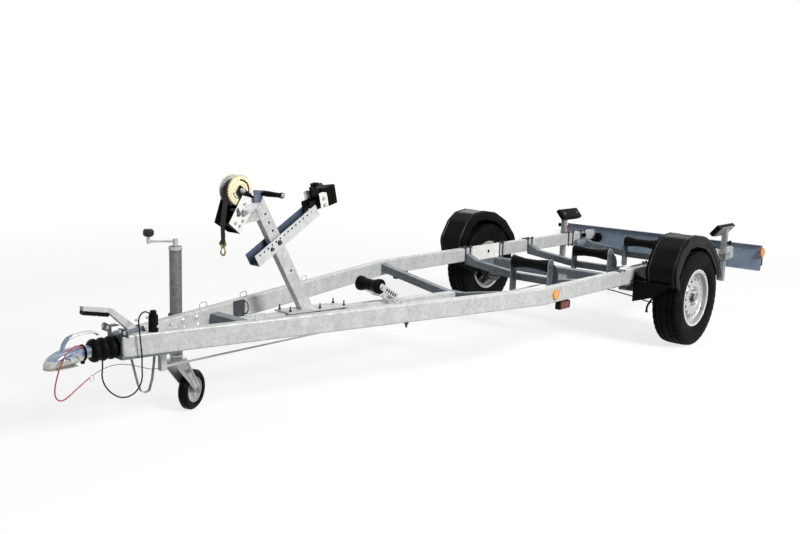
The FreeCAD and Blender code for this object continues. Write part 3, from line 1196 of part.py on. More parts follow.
def handbrake_lever():
    """The cranked lever, an inverted channel that turns up over the bellows."""
    pivot = (FRONT_X - LEVER_PIVOT_BACK, LEVER_PIVOT_Z)
    knee = (FRONT_X + LEVER_KNEE_AHEAD, LEVER_KNEE_Z)
    tip = (FRONT_X + LEVER_TIP_AHEAD, LEVER_TIP_Z)
    half = LEVER_HEIGHT / 2
    outline = [(pivot[0] - half, pivot[1] - half), (pivot[0] + half * 2, pivot[1] - half),
               (knee[0] + half / 2, knee[1] - half), (tip[0], tip[1] - half),
               (tip[0], tip[1] + half), (knee[0] - half / 2, knee[1] + half),
               (pivot[0] - half, pivot[1] + half)]
    body = plate_xz(outline, -LEVER_WIDTH / 2, LEVER_WIDTH / 2)
    bore = rod(LEVER_PIN_RADIUS + RUNNING_FIT, V(pivot[0], -LEVER_WIDTH, pivot[1]),
               V(pivot[0], LEVER_WIDTH, pivot[1]))
    return body.cut(bore)


def brake_rod():
    """The pull rod under the drawbar, from the housing to the axle."""
    start = V(FRONT_X - HOUSING_LENGTH, 0, ROD_Z)
    axle_face = AXLE_TUBE_X + AXLE_TUBE / 2
    end = V(axle_face, 0, ROD_Z)
    hanger = block(FRONT_X - HOUSING_LENGTH - FLANGE_THICKNESS, FRONT_X - HOUSING_LENGTH + OVERRUN,
                   -EAR_INNER, EAR_INNER, ROD_Z - EAR_INNER, RAIL_BOTTOM - FLANGE_THICKNESS)
    plate = block(axle_face, axle_face + ROD_PLATE_THICKNESS, -ROD_PLATE_HALF, ROD_PLATE_HALF,
                  ROD_Z - EAR_INNER, ROD_PLATE_TOP)
    return fuse(rod(ROD_RADIUS, end, start), hanger, plate)


def bellows():
    """The ribbed rubber bellows round the draw shaft."""
    centre = V(BELLOWS_START, 0, COUPLING_Z)
    pitch = BELLOWS_LENGTH / BELLOWS_RIBS
    bore = SHAFT_RADIUS + SEAT_GAP
    outline = [(0, bore), (0, BELLOWS_NECK)]
    for index in range(BELLOWS_RIBS):
        outline.append((pitch * (index + 0.25), BELLOWS_RADIUS))
        outline.append((pitch * (index + 0.65), BELLOWS_RADIUS))
        outline.append((pitch * (index + 1), BELLOWS_NECK))
    outline.append((BELLOWS_LENGTH, bore))
    return turned(outline, centre, X_AXIS)


def coupling_head():
    """The ball coupling on its draw shaft."""
    shaft = rod(SHAFT_RADIUS, V(BELLOWS_START, 0, COUPLING_Z), V(HEAD_REAR + OVERRUN, 0, COUPLING_Z))
    half = HEAD_HALF_WIDTH
    nose_x = TIP_X - half
    top_rear = HEAD_TOP
    outline = [(HEAD_REAR, HEAD_BOTTOM + OVERRUN), (HEAD_REAR, top_rear), (nose_x - half, top_rear),
               (nose_x, HEAD_TOP - EAR_THICKNESS), (nose_x, HEAD_BOTTOM), (nose_x - half, HEAD_BOTTOM)]
    body = plate_xz(outline, -half * 3 / 4, half * 3 / 4)
    dome = rod(half, V(nose_x, 0, HEAD_BOTTOM), V(nose_x, 0, HEAD_TOP - EAR_THICKNESS))
    crown = [edge for edge in dome.Edges if edge.CenterOfMass.z > HEAD_BOTTOM + half]
    dome = dome.makeFillet(half / 2, crown)
    ball = V(TIP_X - BALL_BACK_FROM_TIP, 0, HEAD_BOTTOM + BALL_DEPTH)
    socket = fuse(rod(BALL_RADIUS, ball - Z_AXIS * (BALL_DEPTH + OVERRUN), ball),
                  Part.makeSphere(BALL_RADIUS, ball))
    start, following = TETHER_ROUTE[:2]
    boss = rod(TETHER_BOSS_RADIUS, start + (start - following).normalize() * TETHER_BOSS_LENGTH, start)
    return fuse(shaft, body, dome, boss).cut(socket)


def coupling_handle():
    """The looped handle on top of the coupling head, back over the bellows."""
    half = HANDLE_WIDTH / 2
    base_x = TIP_X - 2 * HEAD_HALF_WIDTH
    outline = [(base_x + along * HANDLE_LENGTH, HEAD_TOP + up * HANDLE_HEIGHT) for along, up in HANDLE_SHARES]
    return plate_xz(outline, -half, half)


# Cords, the plug and the cable hoop

def cord(name, points, diameter):
    """A tube of straight runs joined by tangent arcs, each as large as its runs allow."""
    edges, radii, start = [], [], points[0]
    for before, corner, after in zip(points, points[1:], points[2:]):
        back, ahead = before - corner, after - corner
        reach = min(back.Length, ahead.Length) * ARC_SHARE
        half_turn = (math.pi - back.getAngle(ahead)) / 2
        radius = reach / math.tan(half_turn)
        back.normalize()
        ahead.normalize()
        inward = (back + ahead).normalize()
        middle = corner + inward * (radius / math.cos(half_turn) - radius)
        first, last = corner + back * reach, corner + ahead * reach
        edges += [Part.LineSegment(start, first).toShape(), Part.Arc(first, middle, last).toShape()]
        radii.append(round(radius))
        start = last
    edges.append(Part.LineSegment(start, points[-1]).toShape())
    path = Part.Wire(edges)
    ring = Part.Wire(Part.makeCircle(diameter / 2, points[0], points[1] - points[0]))
    tube = path.makePipeShell([ring], True, False)
    section = math.pi * diameter ** 2 / 4
    print(name, "length", round(path.Length), "radii", radii, "volume share",
          round(tube.Volume / (section * path.Length), 4))
    return tube


def plug_holder():
    """The black parking socket on the left rail."""
    base = V(PLUG_X, PLUG_Y, RAIL_TOP)
    top = base + Z_AXIS * HOLDER_HEIGHT
    floor = base + Z_AXIS * PLUG_WALL
    return rod(HOLDER_RADIUS, base, top).cut(rod(PLUG_RADIUS + SEAT_GAP, floor, top + Z_AXIS * OVERRUN))


def electric_plug():
    """The plug in its socket, with the cable's strain relief."""
    base = V(PLUG_X, PLUG_Y, RAIL_TOP)
    rim = base + Z_AXIS * HOLDER_HEIGHT
    body = rod(PLUG_RADIUS, base + Z_AXIS * (2 * PLUG_WALL), rim + Z_AXIS * PLUG_WALL)
    collar = rod(PLUG_RADIUS + PLUG_WALL / 2, rim, rim + Z_AXIS * PLUG_WALL)
    cap = rod(PLUG_CAP_RADIUS, rim, rim + Z_AXIS * PLUG_CAP_HEIGHT)
    crown = [edge for edge in cap.Edges if edge.CenterOfMass.z > rim.z + PLUG_CAP_HEIGHT / 2 and edge.Closed]
    cap = cap.makeFillet(PLUG_CAP_RADIUS / 2, crown)
    start, following = CABLE_ROUTE[:2]
    relief = rod(RELIEF_RADIUS, start + (start - following).normalize() * RELIEF_LENGTH, start)
    return fuse(body, collar, cap, relief)


def strip(points, thickness):
    """The outline of a bent flat strip, as wide as its thickness on the right of a line of points."""
    inner = []
    for index, (x, z) in enumerate(points):
        normals = []
        for first, last in ((index - 1, index), (index, index + 1)):
            if first >= 0 and last < len(points):
                run = V(points[last][0] - points[first][0], 0, points[last][1] - points[first][1]).normalize()
                normals.append(V(run.z, 0, -run.x))
        mean = (normals[0] + normals[-1]).normalize()
        shift = mean * (thickness / mean.dot(normals[0]))
        inner.append((x + shift.x, z + shift.z))
    return points + inner[::-1]


def cable_hoop():
    """The flat strap bent to a U under the drawbar's front."""
    rear = FRONT_X - HOOP_REAR_BACK
    top = RAIL_BOTTOM - FLANGE_THICKNESS
    points = [(rear + along * HOOP_LENGTH, top - down * HOOP_DROP) for along, down in HOOP_SHARES]
    hoop = plate_xz(strip(points, HOOP_THICKNESS), -HOOP_OFF_CENTRE - HOOP_WIDTH, -HOOP_OFF_CENTRE)
    return hoop.common(half_space(V(0, 0, top), -Z_AXIS))


def brake_cable():
    """The left brake cable from the pull rod's plate to the back plate."""
    plate_x = AXLE_TUBE_X + AXLE_TUBE / 2 + ROD_PLATE_THICKNESS / 2
    end_x = AXLE_X + BRAKE_CABLE_END_AHEAD
    end_y = ARM_Y + ARM_THICKNESS
    places = [V(plate_x + across * (end_x - plate_x), ROD_PLATE_HALF + out * (end_y - ROD_PLATE_HALF),
                ROD_Z - down * BRAKE_CABLE_DROP) for across, out, down in BRAKE_CABLE_SHARES]
    return cord("brake_cable", places, BRAKE_CABLE_DIAMETER)


# Side markers

def side_marker():
    """The left rail's reflector, the marker lamp behind it and the reflector on the tail lamp's end."""
    x = BEND_X - REFLECTOR_BEHIND_BEND
    z = RAIL_TOP - RAIL_HEIGHT / 2
    reflector = rod(REFLECTOR_RADIUS, V(x, FRAME_HALF, z), V(x, FRAME_HALF + REFLECTOR_THICKNESS, z))
    front = BEND_X - MARKER_BEHIND_BEND
    outer = FRAME_HALF + REFLECTOR_THICKNESS
    lamp = block(front - MARKER_LENGTH, front, outer - MARKER_DEPTH, outer,
                 RAIL_BOTTOM - MARKER_DROP - MARKER_HEIGHT, RAIL_BOTTOM - MARKER_DROP)
    ends = [edge for edge in lamp.Edges if abs(edge.tangentAt(edge.FirstParameter).y) > ARC_SHARE]
    lamp = lamp.makeFillet(MARKER_HEIGHT / 3, ends)
    foot = block(front - MARKER_LENGTH * 3 / 4, front - MARKER_LENGTH / 4, outer - MARKER_DEPTH,
                 FRAME_HALF - REFLECTOR_THICKNESS, RAIL_BOTTOM - MARKER_DROP - MARKER_HEIGHT / 2, RAIL_BOTTOM)
    end = V(TAIL_X - BOARD_REFLECTOR_BEHIND_TAIL, BOARD_HALF, BOARD_REFLECTOR_Z)
    rear_reflector = rod(BOARD_REFLECTOR_RADIUS, end, end + Y_AXIS * BOARD_REFLECTOR_THICKNESS)
    return [reflector, fuse(lamp, foot), rear_reflector]


# Jockey wheel

JOCKEY_X = FRONT_X - JOCKEY_BACK_FROM_NOSE
JOCKEY_Y = -(outer_half_at(JOCKEY_X) + (JOCKEY_RADIUS + JOCKEY_CLAMP_WALL) / math.cos(TAPER))
TRAIL = math.radians(JOCKEY_TRAIL_ANGLE)
TRAIL_DIR = V(math.cos(TRAIL), math.sin(TRAIL), 0)
TRAIL_SIDE = V(-math.sin(TRAIL), math.cos(TRAIL), 0)
JOCKEY_HUB = V(JOCKEY_X, JOCKEY_Y, JOCKEY_WHEEL_RADIUS) + TRAIL_DIR * JOCKEY_TRAIL


def jockey_point(z, radius=0, angle=0):
    return V(JOCKEY_X + math.cos(angle) * radius, JOCKEY_Y + math.sin(angle) * radius, z)


def jockey_clamp():
    """The ring clamp on the right rail's outer face."""
    inner = JOCKEY_RADIUS + SEAT_GAP
    outer = JOCKEY_RADIUS + JOCKEY_CLAMP_WALL
    ring = rod(outer, jockey_point(JOCKEY_CLAMP_LOW), jockey_point(JOCKEY_CLAMP_HIGH))
    normal = V(math.sin(TAPER), -math.cos(TAPER), 0)
    along = V(math.cos(TAPER), math.sin(TAPER), 0)
    height = JOCKEY_CLAMP_HIGH - JOCKEY_CLAMP_LOW
    centre = jockey_point(JOCKEY_CLAMP_LOW)
    plate = Part.makeBox(2 * outer + 2 * OVERRUN, JOCKEY_CLAMP_WALL, height, V(-outer - OVERRUN, -JOCKEY_CLAMP_WALL, 0))
    plate.Placement = FreeCAD.Placement(centre - normal * outer, FreeCAD.Rotation(along, -normal, Z_AXIS, "XYZ"))
    bore = rod(inner, jockey_point(JOCKEY_CLAMP_LOW - OVERRUN), jockey_point(JOCKEY_CLAMP_HIGH + OVERRUN))
    return fuse(ring, plate).cut(bore)


def jockey_tube():
    """The outer tube with its top cap."""
    inner = JOCKEY_RADIUS - JOCKEY_WALL
    cap = rod(JOCKEY_RADIUS, jockey_point(JOCKEY_TOP - FORK_PLATE), jockey_point(JOCKEY_TOP))
    tube = pipe(JOCKEY_RADIUS, inner, jockey_point(JOCKEY_BOTTOM), jockey_point(JOCKEY_TOP))
    return fuse(tube, cap)


def jockey_inner():
    """The inner tube that slides out of the outer one."""
    outer = JOCKEY_RADIUS - JOCKEY_WALL - RUNNING_FIT
    bottom = JOCKEY_BOTTOM - FORK_GAP
    return pipe(outer, outer - JOCKEY_WALL, jockey_point(bottom), jockey_point(bottom + JOCKEY_INNER_LENGTH))


FORK_TOP = JOCKEY_BOTTOM - FORK_GAP - SEAT_GAP


def jockey_fork():
    """The caster: a head plate under the inner tube, two slanted cheeks and the wheel pin."""
    head = rod(FORK_HEAD_RADIUS, jockey_point(FORK_TOP - FORK_HEAD_THICKNESS), jockey_point(FORK_TOP))
    half_gap = JOCKEY_WHEEL_WIDTH / 2 + FORK_GAP
    top = V(JOCKEY_X, JOCKEY_Y, FORK_TOP)
    radius = FORK_TIP_RADIUS
    base = FORK_TOP - FORK_HEAD_THICKNESS
    plates = []
    for sign in (1, -1):
        shift = TRAIL_SIDE * (sign * half_gap)
        points = [V(JOCKEY_X, JOCKEY_Y, FORK_TOP) - TRAIL_DIR * FORK_HEAD_RADIUS,
                  V(JOCKEY_X, JOCKEY_Y, FORK_TOP) + TRAIL_DIR * FORK_HEAD_RADIUS,
                  JOCKEY_HUB + TRAIL_DIR * radius + Z_AXIS * radius, JOCKEY_HUB - Z_AXIS * radius,
                  V(JOCKEY_X, JOCKEY_Y, base - FORK_HEAD_RADIUS) - TRAIL_DIR * FORK_HEAD_RADIUS]
        face = polygon_face([point + shift for point in points])
        plates.append(face.extrude(TRAIL_SIDE * (sign * FORK_PLATE)))
    end = half_gap + FORK_PLATE
    bridge_low = top - TRAIL_DIR * FORK_HEAD_RADIUS - TRAIL_SIDE * end - Z_AXIS * FORK_HEAD_THICKNESS
    bridge = Part.makeBox(2 * FORK_HEAD_RADIUS, 2 * end, FORK_HEAD_THICKNESS)
    bridge.Placement = FreeCAD.Placement(bridge_low, FreeCAD.Rotation(TRAIL_DIR, TRAIL_SIDE, Z_AXIS, "XYZ"))
    pin_end = end + FORK_PLATE
    pin = rod(JOCKEY_BORE, JOCKEY_HUB - TRAIL_SIDE * pin_end, JOCKEY_HUB + TRAIL_SIDE * pin_end)
    return fuse(head, bridge, plates[0], plates[1], pin)


def jockey_rim():
    half, wall = JOCKEY_RIM_WIDTH / 2, JOCKEY_WALL
    edge = JOCKEY_RIM_RADIUS
    hub = JOCKEY_BORE + 2 * wall
    profile = [(-half - wall, JOCKEY_BORE + RUNNING_FIT), (-half - wall, hub), (-wall, hub), (-wall, edge - 3 * wall),
               (-half, edge - wall), (-half, edge), (half, edge), (half, edge - wall), (wall, edge - 3 * wall),
               (wall, hub), (half + wall, hub), (half + wall, JOCKEY_BORE + RUNNING_FIT)]
    return turned(profile, JOCKEY_HUB, TRAIL_SIDE)


def jockey_tyre():
    half = JOCKEY_WHEEL_WIDTH / 2
    inner = JOCKEY_RIM_RADIUS + SEAT_GAP
    outer = JOCKEY_WHEEL_RADIUS
    round_off = half / 2
    profile = [(-half + round_off / 2, inner), (-half, inner + round_off), (-half, outer - round_off),
               (-half + round_off, outer), (half - round_off, outer), (half, outer - round_off),
               (half, inner + round_off), (half - round_off / 2, inner)]
    return turned(profile, JOCKEY_HUB, TRAIL_SIDE)


def jockey_crank():
    """The crank on top of the tube, with its knob."""
    radius = JOCKEY_CRANK_RADIUS
    start = jockey_point(JOCKEY_TOP)
    top = JOCKEY_TOP + 4 * radius
    angle = math.radians(JOCKEY_CRANK_ANGLE)
    tip = jockey_point(top, JOCKEY_CRANK_ARM, angle)
    stem = rod(radius * 2, start, jockey_point(top + 2 * radius))
    arm = rod(radius, jockey_point(top), tip)
    knob_low = tip + Z_AXIS * (4 * radius)
    neck = rod(radius * 3 / 2, tip - Z_AXIS * (2 * radius), knob_low + Z_AXIS * radius)
    knob = [(0, 0), (0, KNOB_RADIUS * 3 / 4), (KNOB_RADIUS / 3, KNOB_RADIUS), (KNOB_RADIUS, KNOB_RADIUS),
            (KNOB_RADIUS * 4 / 3, KNOB_RADIUS * 3 / 4), (KNOB_RADIUS * 4 / 3, 0)]
    face = polygon_face([knob_low + V(r, 0, h) for h, r in knob])
    return fuse(stem, arm, neck, face.revolve(knob_low, Z_AXIS, FULL_TURN))


def build():
    """Every node's name and shape."""
    left_rail = rail()
    arm = swing_arm()
    drum = brake_drum()
    rim = wheel_rim()
    tread = tyre()
    guard = mudguard()
    left_support = (LEFT_POST_AHEAD_OF_TAIL, LEFT_PAD_SHIFT)
    right_support = (RIGHT_POST_AHEAD_OF_TAIL, RIGHT_PAD_SHIFT)
    lamp = tail_lamp()
    brake = brake_cable()
    markers = side_marker()
    nodes = {
        "rail_left": left_rail, "rail_right": mirrored(left_rail),
        "keel_tube": keel_tube(),
        "cross_member_bend": bend_cross_member(),
        "axle_beam": axle_beam(),
        "swing_arms": Part.makeCompound([arm, mirrored(arm)]),
        "brake_drum_left": drum, "brake_drum_right": mirrored(drum),
        "wheel_rim_left": rim, "wheel_rim_right": mirrored(rim),
        "tyre_left": tread, "tyre_right": mirrored(tread),
        "mudguard_left": guard, "mudguard_right": mirrored(guard),
        "keel_roller_front": roller(V(FRONT_ROLLER_X, 0, FRONT_ROLLER_Z), FRONT_ROLLER_LENGTH,
                                    ROLLER_PIN_RADIUS + RUNNING_FIT),
        "roller_arm": roller_arm(),
        "roller_brackets": Part.makeCompound([roller_bracket(index) for index in range(ROLLER_CROSS_COUNT)]),
        "side_posts": Part.makeCompound([side_post(*left_support), mirrored(side_post(*right_support))]),
        "side_pads": Part.makeCompound([side_pad(*left_support), mirrored(side_pad(*right_support))]),
        "light_board": light_board(),
        "tail_lamps": Part.makeCompound([lamp, mirrored(lamp)]),
        "winch_post": winch_post(),
        "bow_arm": bow_arm(),
        "bow_bracket": bow_bracket(),
        "bow_block": bow_block(),
        "winch_frame": winch_frame(),
        "winch_cover": winch_cover(),
        "winch_drum": winch_drum(),
        "winch_strap_roll": strap_roll(),
        "winch_crank": winch_crank(),
        "winch_strap_tail": strap_tail(),
        "snap_hook": snap_hook(),
        "overrun_housing": overrun_housing(),
        "handbrake_lever": handbrake_lever(),
        "brake_rod": brake_rod(),
        "bellows": bellows(),
        "coupling_head": coupling_head(),
        "coupling_handle": coupling_handle(),
        "plug_holder": plug_holder(),
        "electric_plug": electric_plug(),
        "electric_cable": cord("electric_cable", CABLE_ROUTE, CABLE_DIAMETER),
        "breakaway_cable": cord("breakaway_cable", TETHER_ROUTE, TETHER_DIAMETER),
        "breakaway_wire": cord("breakaway_wire", WIRE_ROUTE, WIRE_DIAMETER),
        "cable_hoop": cable_hoop(),
        "brake_cables": Part.makeCompound([brake, mirrored(brake)]),
        "side_markers": Part.makeCompound(markers + [mirrored(marker) for marker in markers]),
        "jockey_clamp": jockey_clamp(),
        "jockey_tube": jockey_tube(),
        "jockey_inner_tube": jockey_inner(),
        "jockey_fork": jockey_fork(),
        "jockey_rim": jockey_rim(),
        "jockey_tyre": jockey_tyre(),
        "jockey_crank": jockey_crank(),
    }
    for index in range(ROLLER_CROSS_COUNT):
        number = index + 1
        nodes["cross_member_%d" % number] = cross_member(roller_cross_x(index), ROLLER_CROSS_END_TOP,
                                                         ROLLER_CROSS_MID_TOP, ROLLER_CROSS_FLAT_HALF)
        nodes["keel_roller_%d" % number] = roller(roller_centre(index), ROLLER_LENGTH,
                                                  ROLLER_PIN_RADIUS + RUNNING_FIT)
    return nodes


def main():
    os.makedirs("parts", exist_ok=True)
    for name, shape in build().items():
        shape.exportStep("parts/%s.step" % name)
        print(name, len(shape.Solids), round(shape.Volume), shape.isValid())


main()
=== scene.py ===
"""Looks of the boat trailer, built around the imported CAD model."""

import json
from math import copysign, cos, hypot, pi, radians, sin, sqrt, tan, tau

import bmesh
import bpy
from mathutils import Matrix, Vector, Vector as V


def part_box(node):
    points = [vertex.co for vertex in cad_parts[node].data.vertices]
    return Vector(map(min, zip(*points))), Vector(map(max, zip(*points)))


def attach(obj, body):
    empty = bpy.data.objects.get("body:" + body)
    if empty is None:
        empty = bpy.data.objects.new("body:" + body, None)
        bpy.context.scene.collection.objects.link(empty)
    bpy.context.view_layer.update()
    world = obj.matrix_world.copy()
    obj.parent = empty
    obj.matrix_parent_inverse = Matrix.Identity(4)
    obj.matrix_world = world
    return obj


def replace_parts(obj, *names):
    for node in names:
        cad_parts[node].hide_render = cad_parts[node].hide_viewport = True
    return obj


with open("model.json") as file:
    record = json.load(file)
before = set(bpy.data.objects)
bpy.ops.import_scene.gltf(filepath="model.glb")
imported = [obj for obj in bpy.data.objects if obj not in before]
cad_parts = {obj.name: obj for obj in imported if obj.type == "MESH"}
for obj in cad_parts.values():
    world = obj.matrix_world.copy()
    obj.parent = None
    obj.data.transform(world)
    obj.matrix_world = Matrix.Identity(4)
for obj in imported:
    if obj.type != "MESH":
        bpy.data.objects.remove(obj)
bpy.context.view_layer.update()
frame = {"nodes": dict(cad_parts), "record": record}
NODES = frame["nodes"]
SLOT_OF = {part["node"]: part["material_slot"] for part in frame["record"]["subparts"]}
SCENE = bpy.context.scene
SCENE.view_settings.view_transform = "Standard"
X, Y, Z = V((1, 0, 0)), V((0, 1, 0)), V((0, 0, 1))
SIGNS = (1, -1)
MM = 0.001
SIDES = (("left", 1), ("right", -1))


def add_object(name, data):
    obj = bpy.data.objects.new(name, data)
    SCENE.collection.objects.link(obj)
    return obj


# Camera

def make_camera():
    """The photograph's viewpoint, found by fitting the wheels, the rails and the post."""
    data = bpy.data.cameras.new("photo_camera")
    data.sensor_width = 36.0
    data.lens = 41.0625
    data.clip_start, data.clip_end = 0.05, 100.0
    camera = add_object("photo_camera", data)
    yaw, pitch, roll = (radians(angle) for angle in (41.02, 9.6, 1.82))
    ahead = V((-cos(yaw) * cos(pitch), -sin(yaw) * cos(pitch), -sin(pitch)))
    right = ahead.cross(Z).normalized()
    up = right.cross(ahead)
    tilted_right = right * cos(roll) + up * sin(roll)
    tilted_up = up * cos(roll) - right * sin(roll)
    turn = Matrix((tilted_right, tilted_up, -ahead)).transposed().to_4x4()
    camera.matrix_world = Matrix.Translation(V((4.6101, 3.4768, 1.5329))) @ turn
    SCENE.camera = camera


# Node materials

class Graph:
    """A node tree with short calls for adding nodes."""

    def __init__(self, owner):
        owner.use_nodes = True
        self.tree = owner.node_tree
        self.place = self.add("TexCoord").outputs["Object"]

    def add(self, kind, *values, **named):
        """A node with values for its sockets; a name in small letters is a setting."""
        node = self.tree.nodes.new("ShaderNode" + kind)
        for key, value in (*enumerate(values), *named.items()):
            if str(key).islower():
                setattr(node, key, value)
            else:
                self.join(value, node, key)
        return node

    def join(self, value, node, key):
        socket = node.inputs[key if isinstance(key, int) else key.replace("_", " ")]
        if isinstance(value, bpy.types.NodeSocket):
            self.tree.links.new(value, socket)
        else:
            socket.default_value = value

    def noise(self, scale, detail=3.0, roughness=0.5, place=None):
        return self.add("TexNoise", Vector=place or self.place, Scale=scale, Detail=detail,
                        Roughness=roughness).outputs["Fac"]

    def stretched(self, scale):
        return self.add("Mapping", Vector=self.place, Scale=scale).outputs["Vector"]

    def ribs(self, scale, distortion, way):
        return self.add("TexWave", Vector=self.place, Scale=scale, Distortion=distortion,
                        bands_direction=way).outputs["Fac"]

    def along(self, axis):
        return self.add("SeparateXYZ", Vector=self.place).outputs[axis]

    def ramp(self, value, low, first, high, last):
        """Turns a level into another level or a colour, from first at low to last at high."""
        node = self.add("ValToRGB", value)
        for element, place, colour in zip(node.color_ramp.elements, (low, high), (first, last)):
            element.position = place
            element.color = (*colour, 1.0) if isinstance(colour, tuple) else (colour, colour, colour, 1.0)
        return node.outputs["Color"]

    def math(self, operation, *levels):
        return self.add("Math", *levels, operation=operation).outputs[0]

    def total(self, *terms):
        """A sum of levels, each given with its weight."""
        level, *others = (self.math("MULTIPLY", *term) for term in terms)
        for other in others:
            level = self.math("ADD", level, other)
        return level

    def blend(self, share, first, second):
        node = self.add("Mix", share, data_type="RGBA")
        for index, value in ((6, first), (7, second)):
            self.join((*value, 1.0) if isinstance(value, tuple) else value, node, index)
        return node.outputs[2]

    def bump(self, height, strength, distance=0.001):
        return self.add("Bump", Height=height, Strength=strength, Distance=distance).outputs["Normal"]

    def skin(self, grain, strength):
        return self.bump(self.noise(grain, 2.0), strength)

    def seen_directly(self):
        """1 for camera, glossy and transmission rays, 0 for the rays that light the object."""
        rays = self.add("LightPath").outputs
        level = rays["Is Camera Ray"]
        for name in ("Is Glossy Ray", "Is Transmission Ray"):
            level = self.math("MAXIMUM", level, rays[name])
        return level


class Look(Graph):
    """A material's node tree."""

    def __init__(self, name):
        self.material = bpy.data.materials.new("look_" + name)
        super().__init__(self.material)

    def end(self, **inputs):
        """Gives the shader's sockets their values."""
        for key, value in inputs.items():
            self.join(value, self.tree.nodes["Principled BSDF"], key)
        return self.material


def galvanised(name, dark, pale, metallic=0.15, gloss=0.35):
    """Hot-dip zinc: soft spangle, cloudy patches, faint runs and a slightly grainy skin."""
    g = Look(name)
    cells = g.add("TexVoronoi", Vector=g.place, Scale=70.0).outputs["Color"]
    spangle = g.add("SeparateColor", cells).outputs["Red"]
    cloud = g.noise(15.0, 6.0, 0.6)
    runs = g.noise(9.0, place=g.stretched((3.0, 3.0, 0.5)))
    colour = g.ramp(g.total((spangle, 0.24), (cloud, 0.62), (runs, 0.3)), 0.3, dark, 0.78, pale)
    specks = g.ramp(g.noise(240.0, 2.0), 0.27, 0.0, 0.34, 1.0)
    return g.end(
        Base_Color=g.blend(specks, tuple(channel * 0.88 for channel in dark), colour),
        Roughness=g.ramp(g.total((spangle, 0.4), (cloud, 0.6)), 0.2, 0.55, 0.8, 0.4),
        Metallic=metallic, Specular_IOR_Level=gloss, Normal=g.bump(g.noise(160.0), 0.06, 0.002))


def satin(name, dark, pale, roughness, metallic, grain=420.0, strength=0.05):
    """A plated or bare metal with a fine grain, faint handling marks and darker dirt in patches."""
    g = Look(name)
    cloud = g.noise(14.0, 5.0, 0.6)
    marks = g.noise(60.0, 4.0, place=g.stretched((0.5, 2.0, 2.0)))
    return g.end(
        Base_Color=g.ramp(g.total((cloud, 0.7), (marks, 0.3)), 0.32, dark, 0.62, pale),
        Roughness=g.ramp(marks, 0.25, roughness[0], 0.75, roughness[1]), Metallic=metallic,
        Normal=g.skin(grain, strength))


def paint(name, colour, worn, roughness=(0.28, 0.42), coat=0.3, metallic=0.0, gloss=0.4):
    """Paint with slight orange peel, small scuffs and cloudy dust."""
    g = Look(name)
    cloud = g.noise(18.0, 4.0)
    scuffs = g.ramp(g.noise(130.0, 5.0, 0.7), 0.66, 0.0, 0.74, 1.0)
    dusty = tuple(min(1.0, channel * 1.5 + 0.004) for channel in colour)
    return g.end(
        Base_Color=g.blend(g.total((scuffs, 0.35)), g.blend(g.total((cloud, 0.5)), colour, dusty), worn),
        Roughness=g.ramp(cloud, 0.3, roughness[0], 0.7, roughness[1]), Metallic=metallic,
        Specular_IOR_Level=gloss, Coat_Weight=coat, Coat_Roughness=0.2, Normal=g.skin(300.0, 0.06))


def soft(name, dark, pale, roughness, dust, patches, gloss, grain, strength):
    """Rubber or moulded plastic with a fine skin and paler dust."""
    g = Look(name)
    scale, share, high = dust
    return g.end(
        Base_Color=g.ramp(g.noise(scale, 5.0, share), 0.35, dark, high, pale),
        Roughness=g.ramp(g.noise(patches), 0.3, roughness[0], 0.7, roughness[1]), Specular_IOR_Level=gloss,
        Normal=g.skin(grain, strength))


def rubber(name, dark, pale, roughness=(0.55, 0.75)):
    return soft(name, dark, pale, roughness, (12.0, 0.65, 0.72), 40.0, 0.05, 500.0, 0.15)


def moulded(name, dark, pale, roughness=(0.28, 0.42)):
    return soft(name, dark, pale, roughness, (7.0, 0.6, 0.75), 22.0, 0.07, 520.0, 0.05)


def lens(name, colour, glow):
    """A clear-coated lens with fine ribs that change between its colour and a brighter one."""
    g = Look(name)
    ribs = g.ribs(60.0, 0.0, "Z")
    return g.end(
        Base_Color=g.blend(ribs, colour, glow), Roughness=0.18, Coat_Weight=0.8, Coat_Roughness=0.05,
        Normal=g.bump(ribs, 0.4, 0.002))


def webbing(name, dark, pale):
    """Woven strap: fine ribs both ways."""
    g = Look(name)
    weave = g.math("MULTIPLY", g.ribs(260.0, 0.6, "Z"), g.ribs(200.0, 0.4, "Y"))
    return g.end(
        Base_Color=g.ramp(weave, 0.1, dark, 0.7, pale), Roughness=0.8, Sheen_Weight=0.1, Normal=g.bump(weave, 0.5))


def layered(name, axis, first, *changes):
    """One material that changes colour, gloss and metal at levels along an axis of the part."""
    g = Look(name)
    place = g.along(axis)
    cloud = g.noise(30.0, 4.0, 0.6)
    colour = g.ramp(cloud, 0.3, first[0], 0.7, first[1])
    levels = list(first[2:])
    for level, tone in changes:
        share = g.math("GREATER_THAN", place, level)
        colour = g.blend(share, colour, g.ramp(cloud, 0.3, tone[0], 0.7, tone[1]))
        for index, before in enumerate(levels):
            if any(other[index + 2] != first[index + 2] for _, other in changes):
                before = before if isinstance(before, bpy.types.NodeSocket) else (before,) * 3
                levels[index] = g.blend(share, before, (tone[index + 2],) * 3)
    return g.end(
        Base_Color=colour, Roughness=levels[0], Metallic=levels[1], Specular_IOR_Level=0.35,
        Normal=g.skin(400.0, 0.05))


def channel(name, level, outside, shade_inside):
    """A folded channel: pale outside a distance from the middle plane, and dark blue within it as painted shade on
    its inner faces.
    """
    g = Look(name)
    share = g.math("GREATER_THAN", g.math("ABSOLUTE", g.along("Y")), level)
    cloud = g.noise(24.0, 5.0, 0.6)
    inner, outer = (g.ramp(cloud, 0.3, tone[0], 0.7, tone[1]) for tone in (shade_inside, outside))
    return g.end(
        Base_Color=g.blend(share, inner, outer), Roughness=g.ramp(cloud, 0.3, 0.5, 0.7, 0.36), Metallic=0.2,
        Specular_IOR_Level=0.4, Normal=g.bump(g.noise(160.0), 0.06, 0.002))
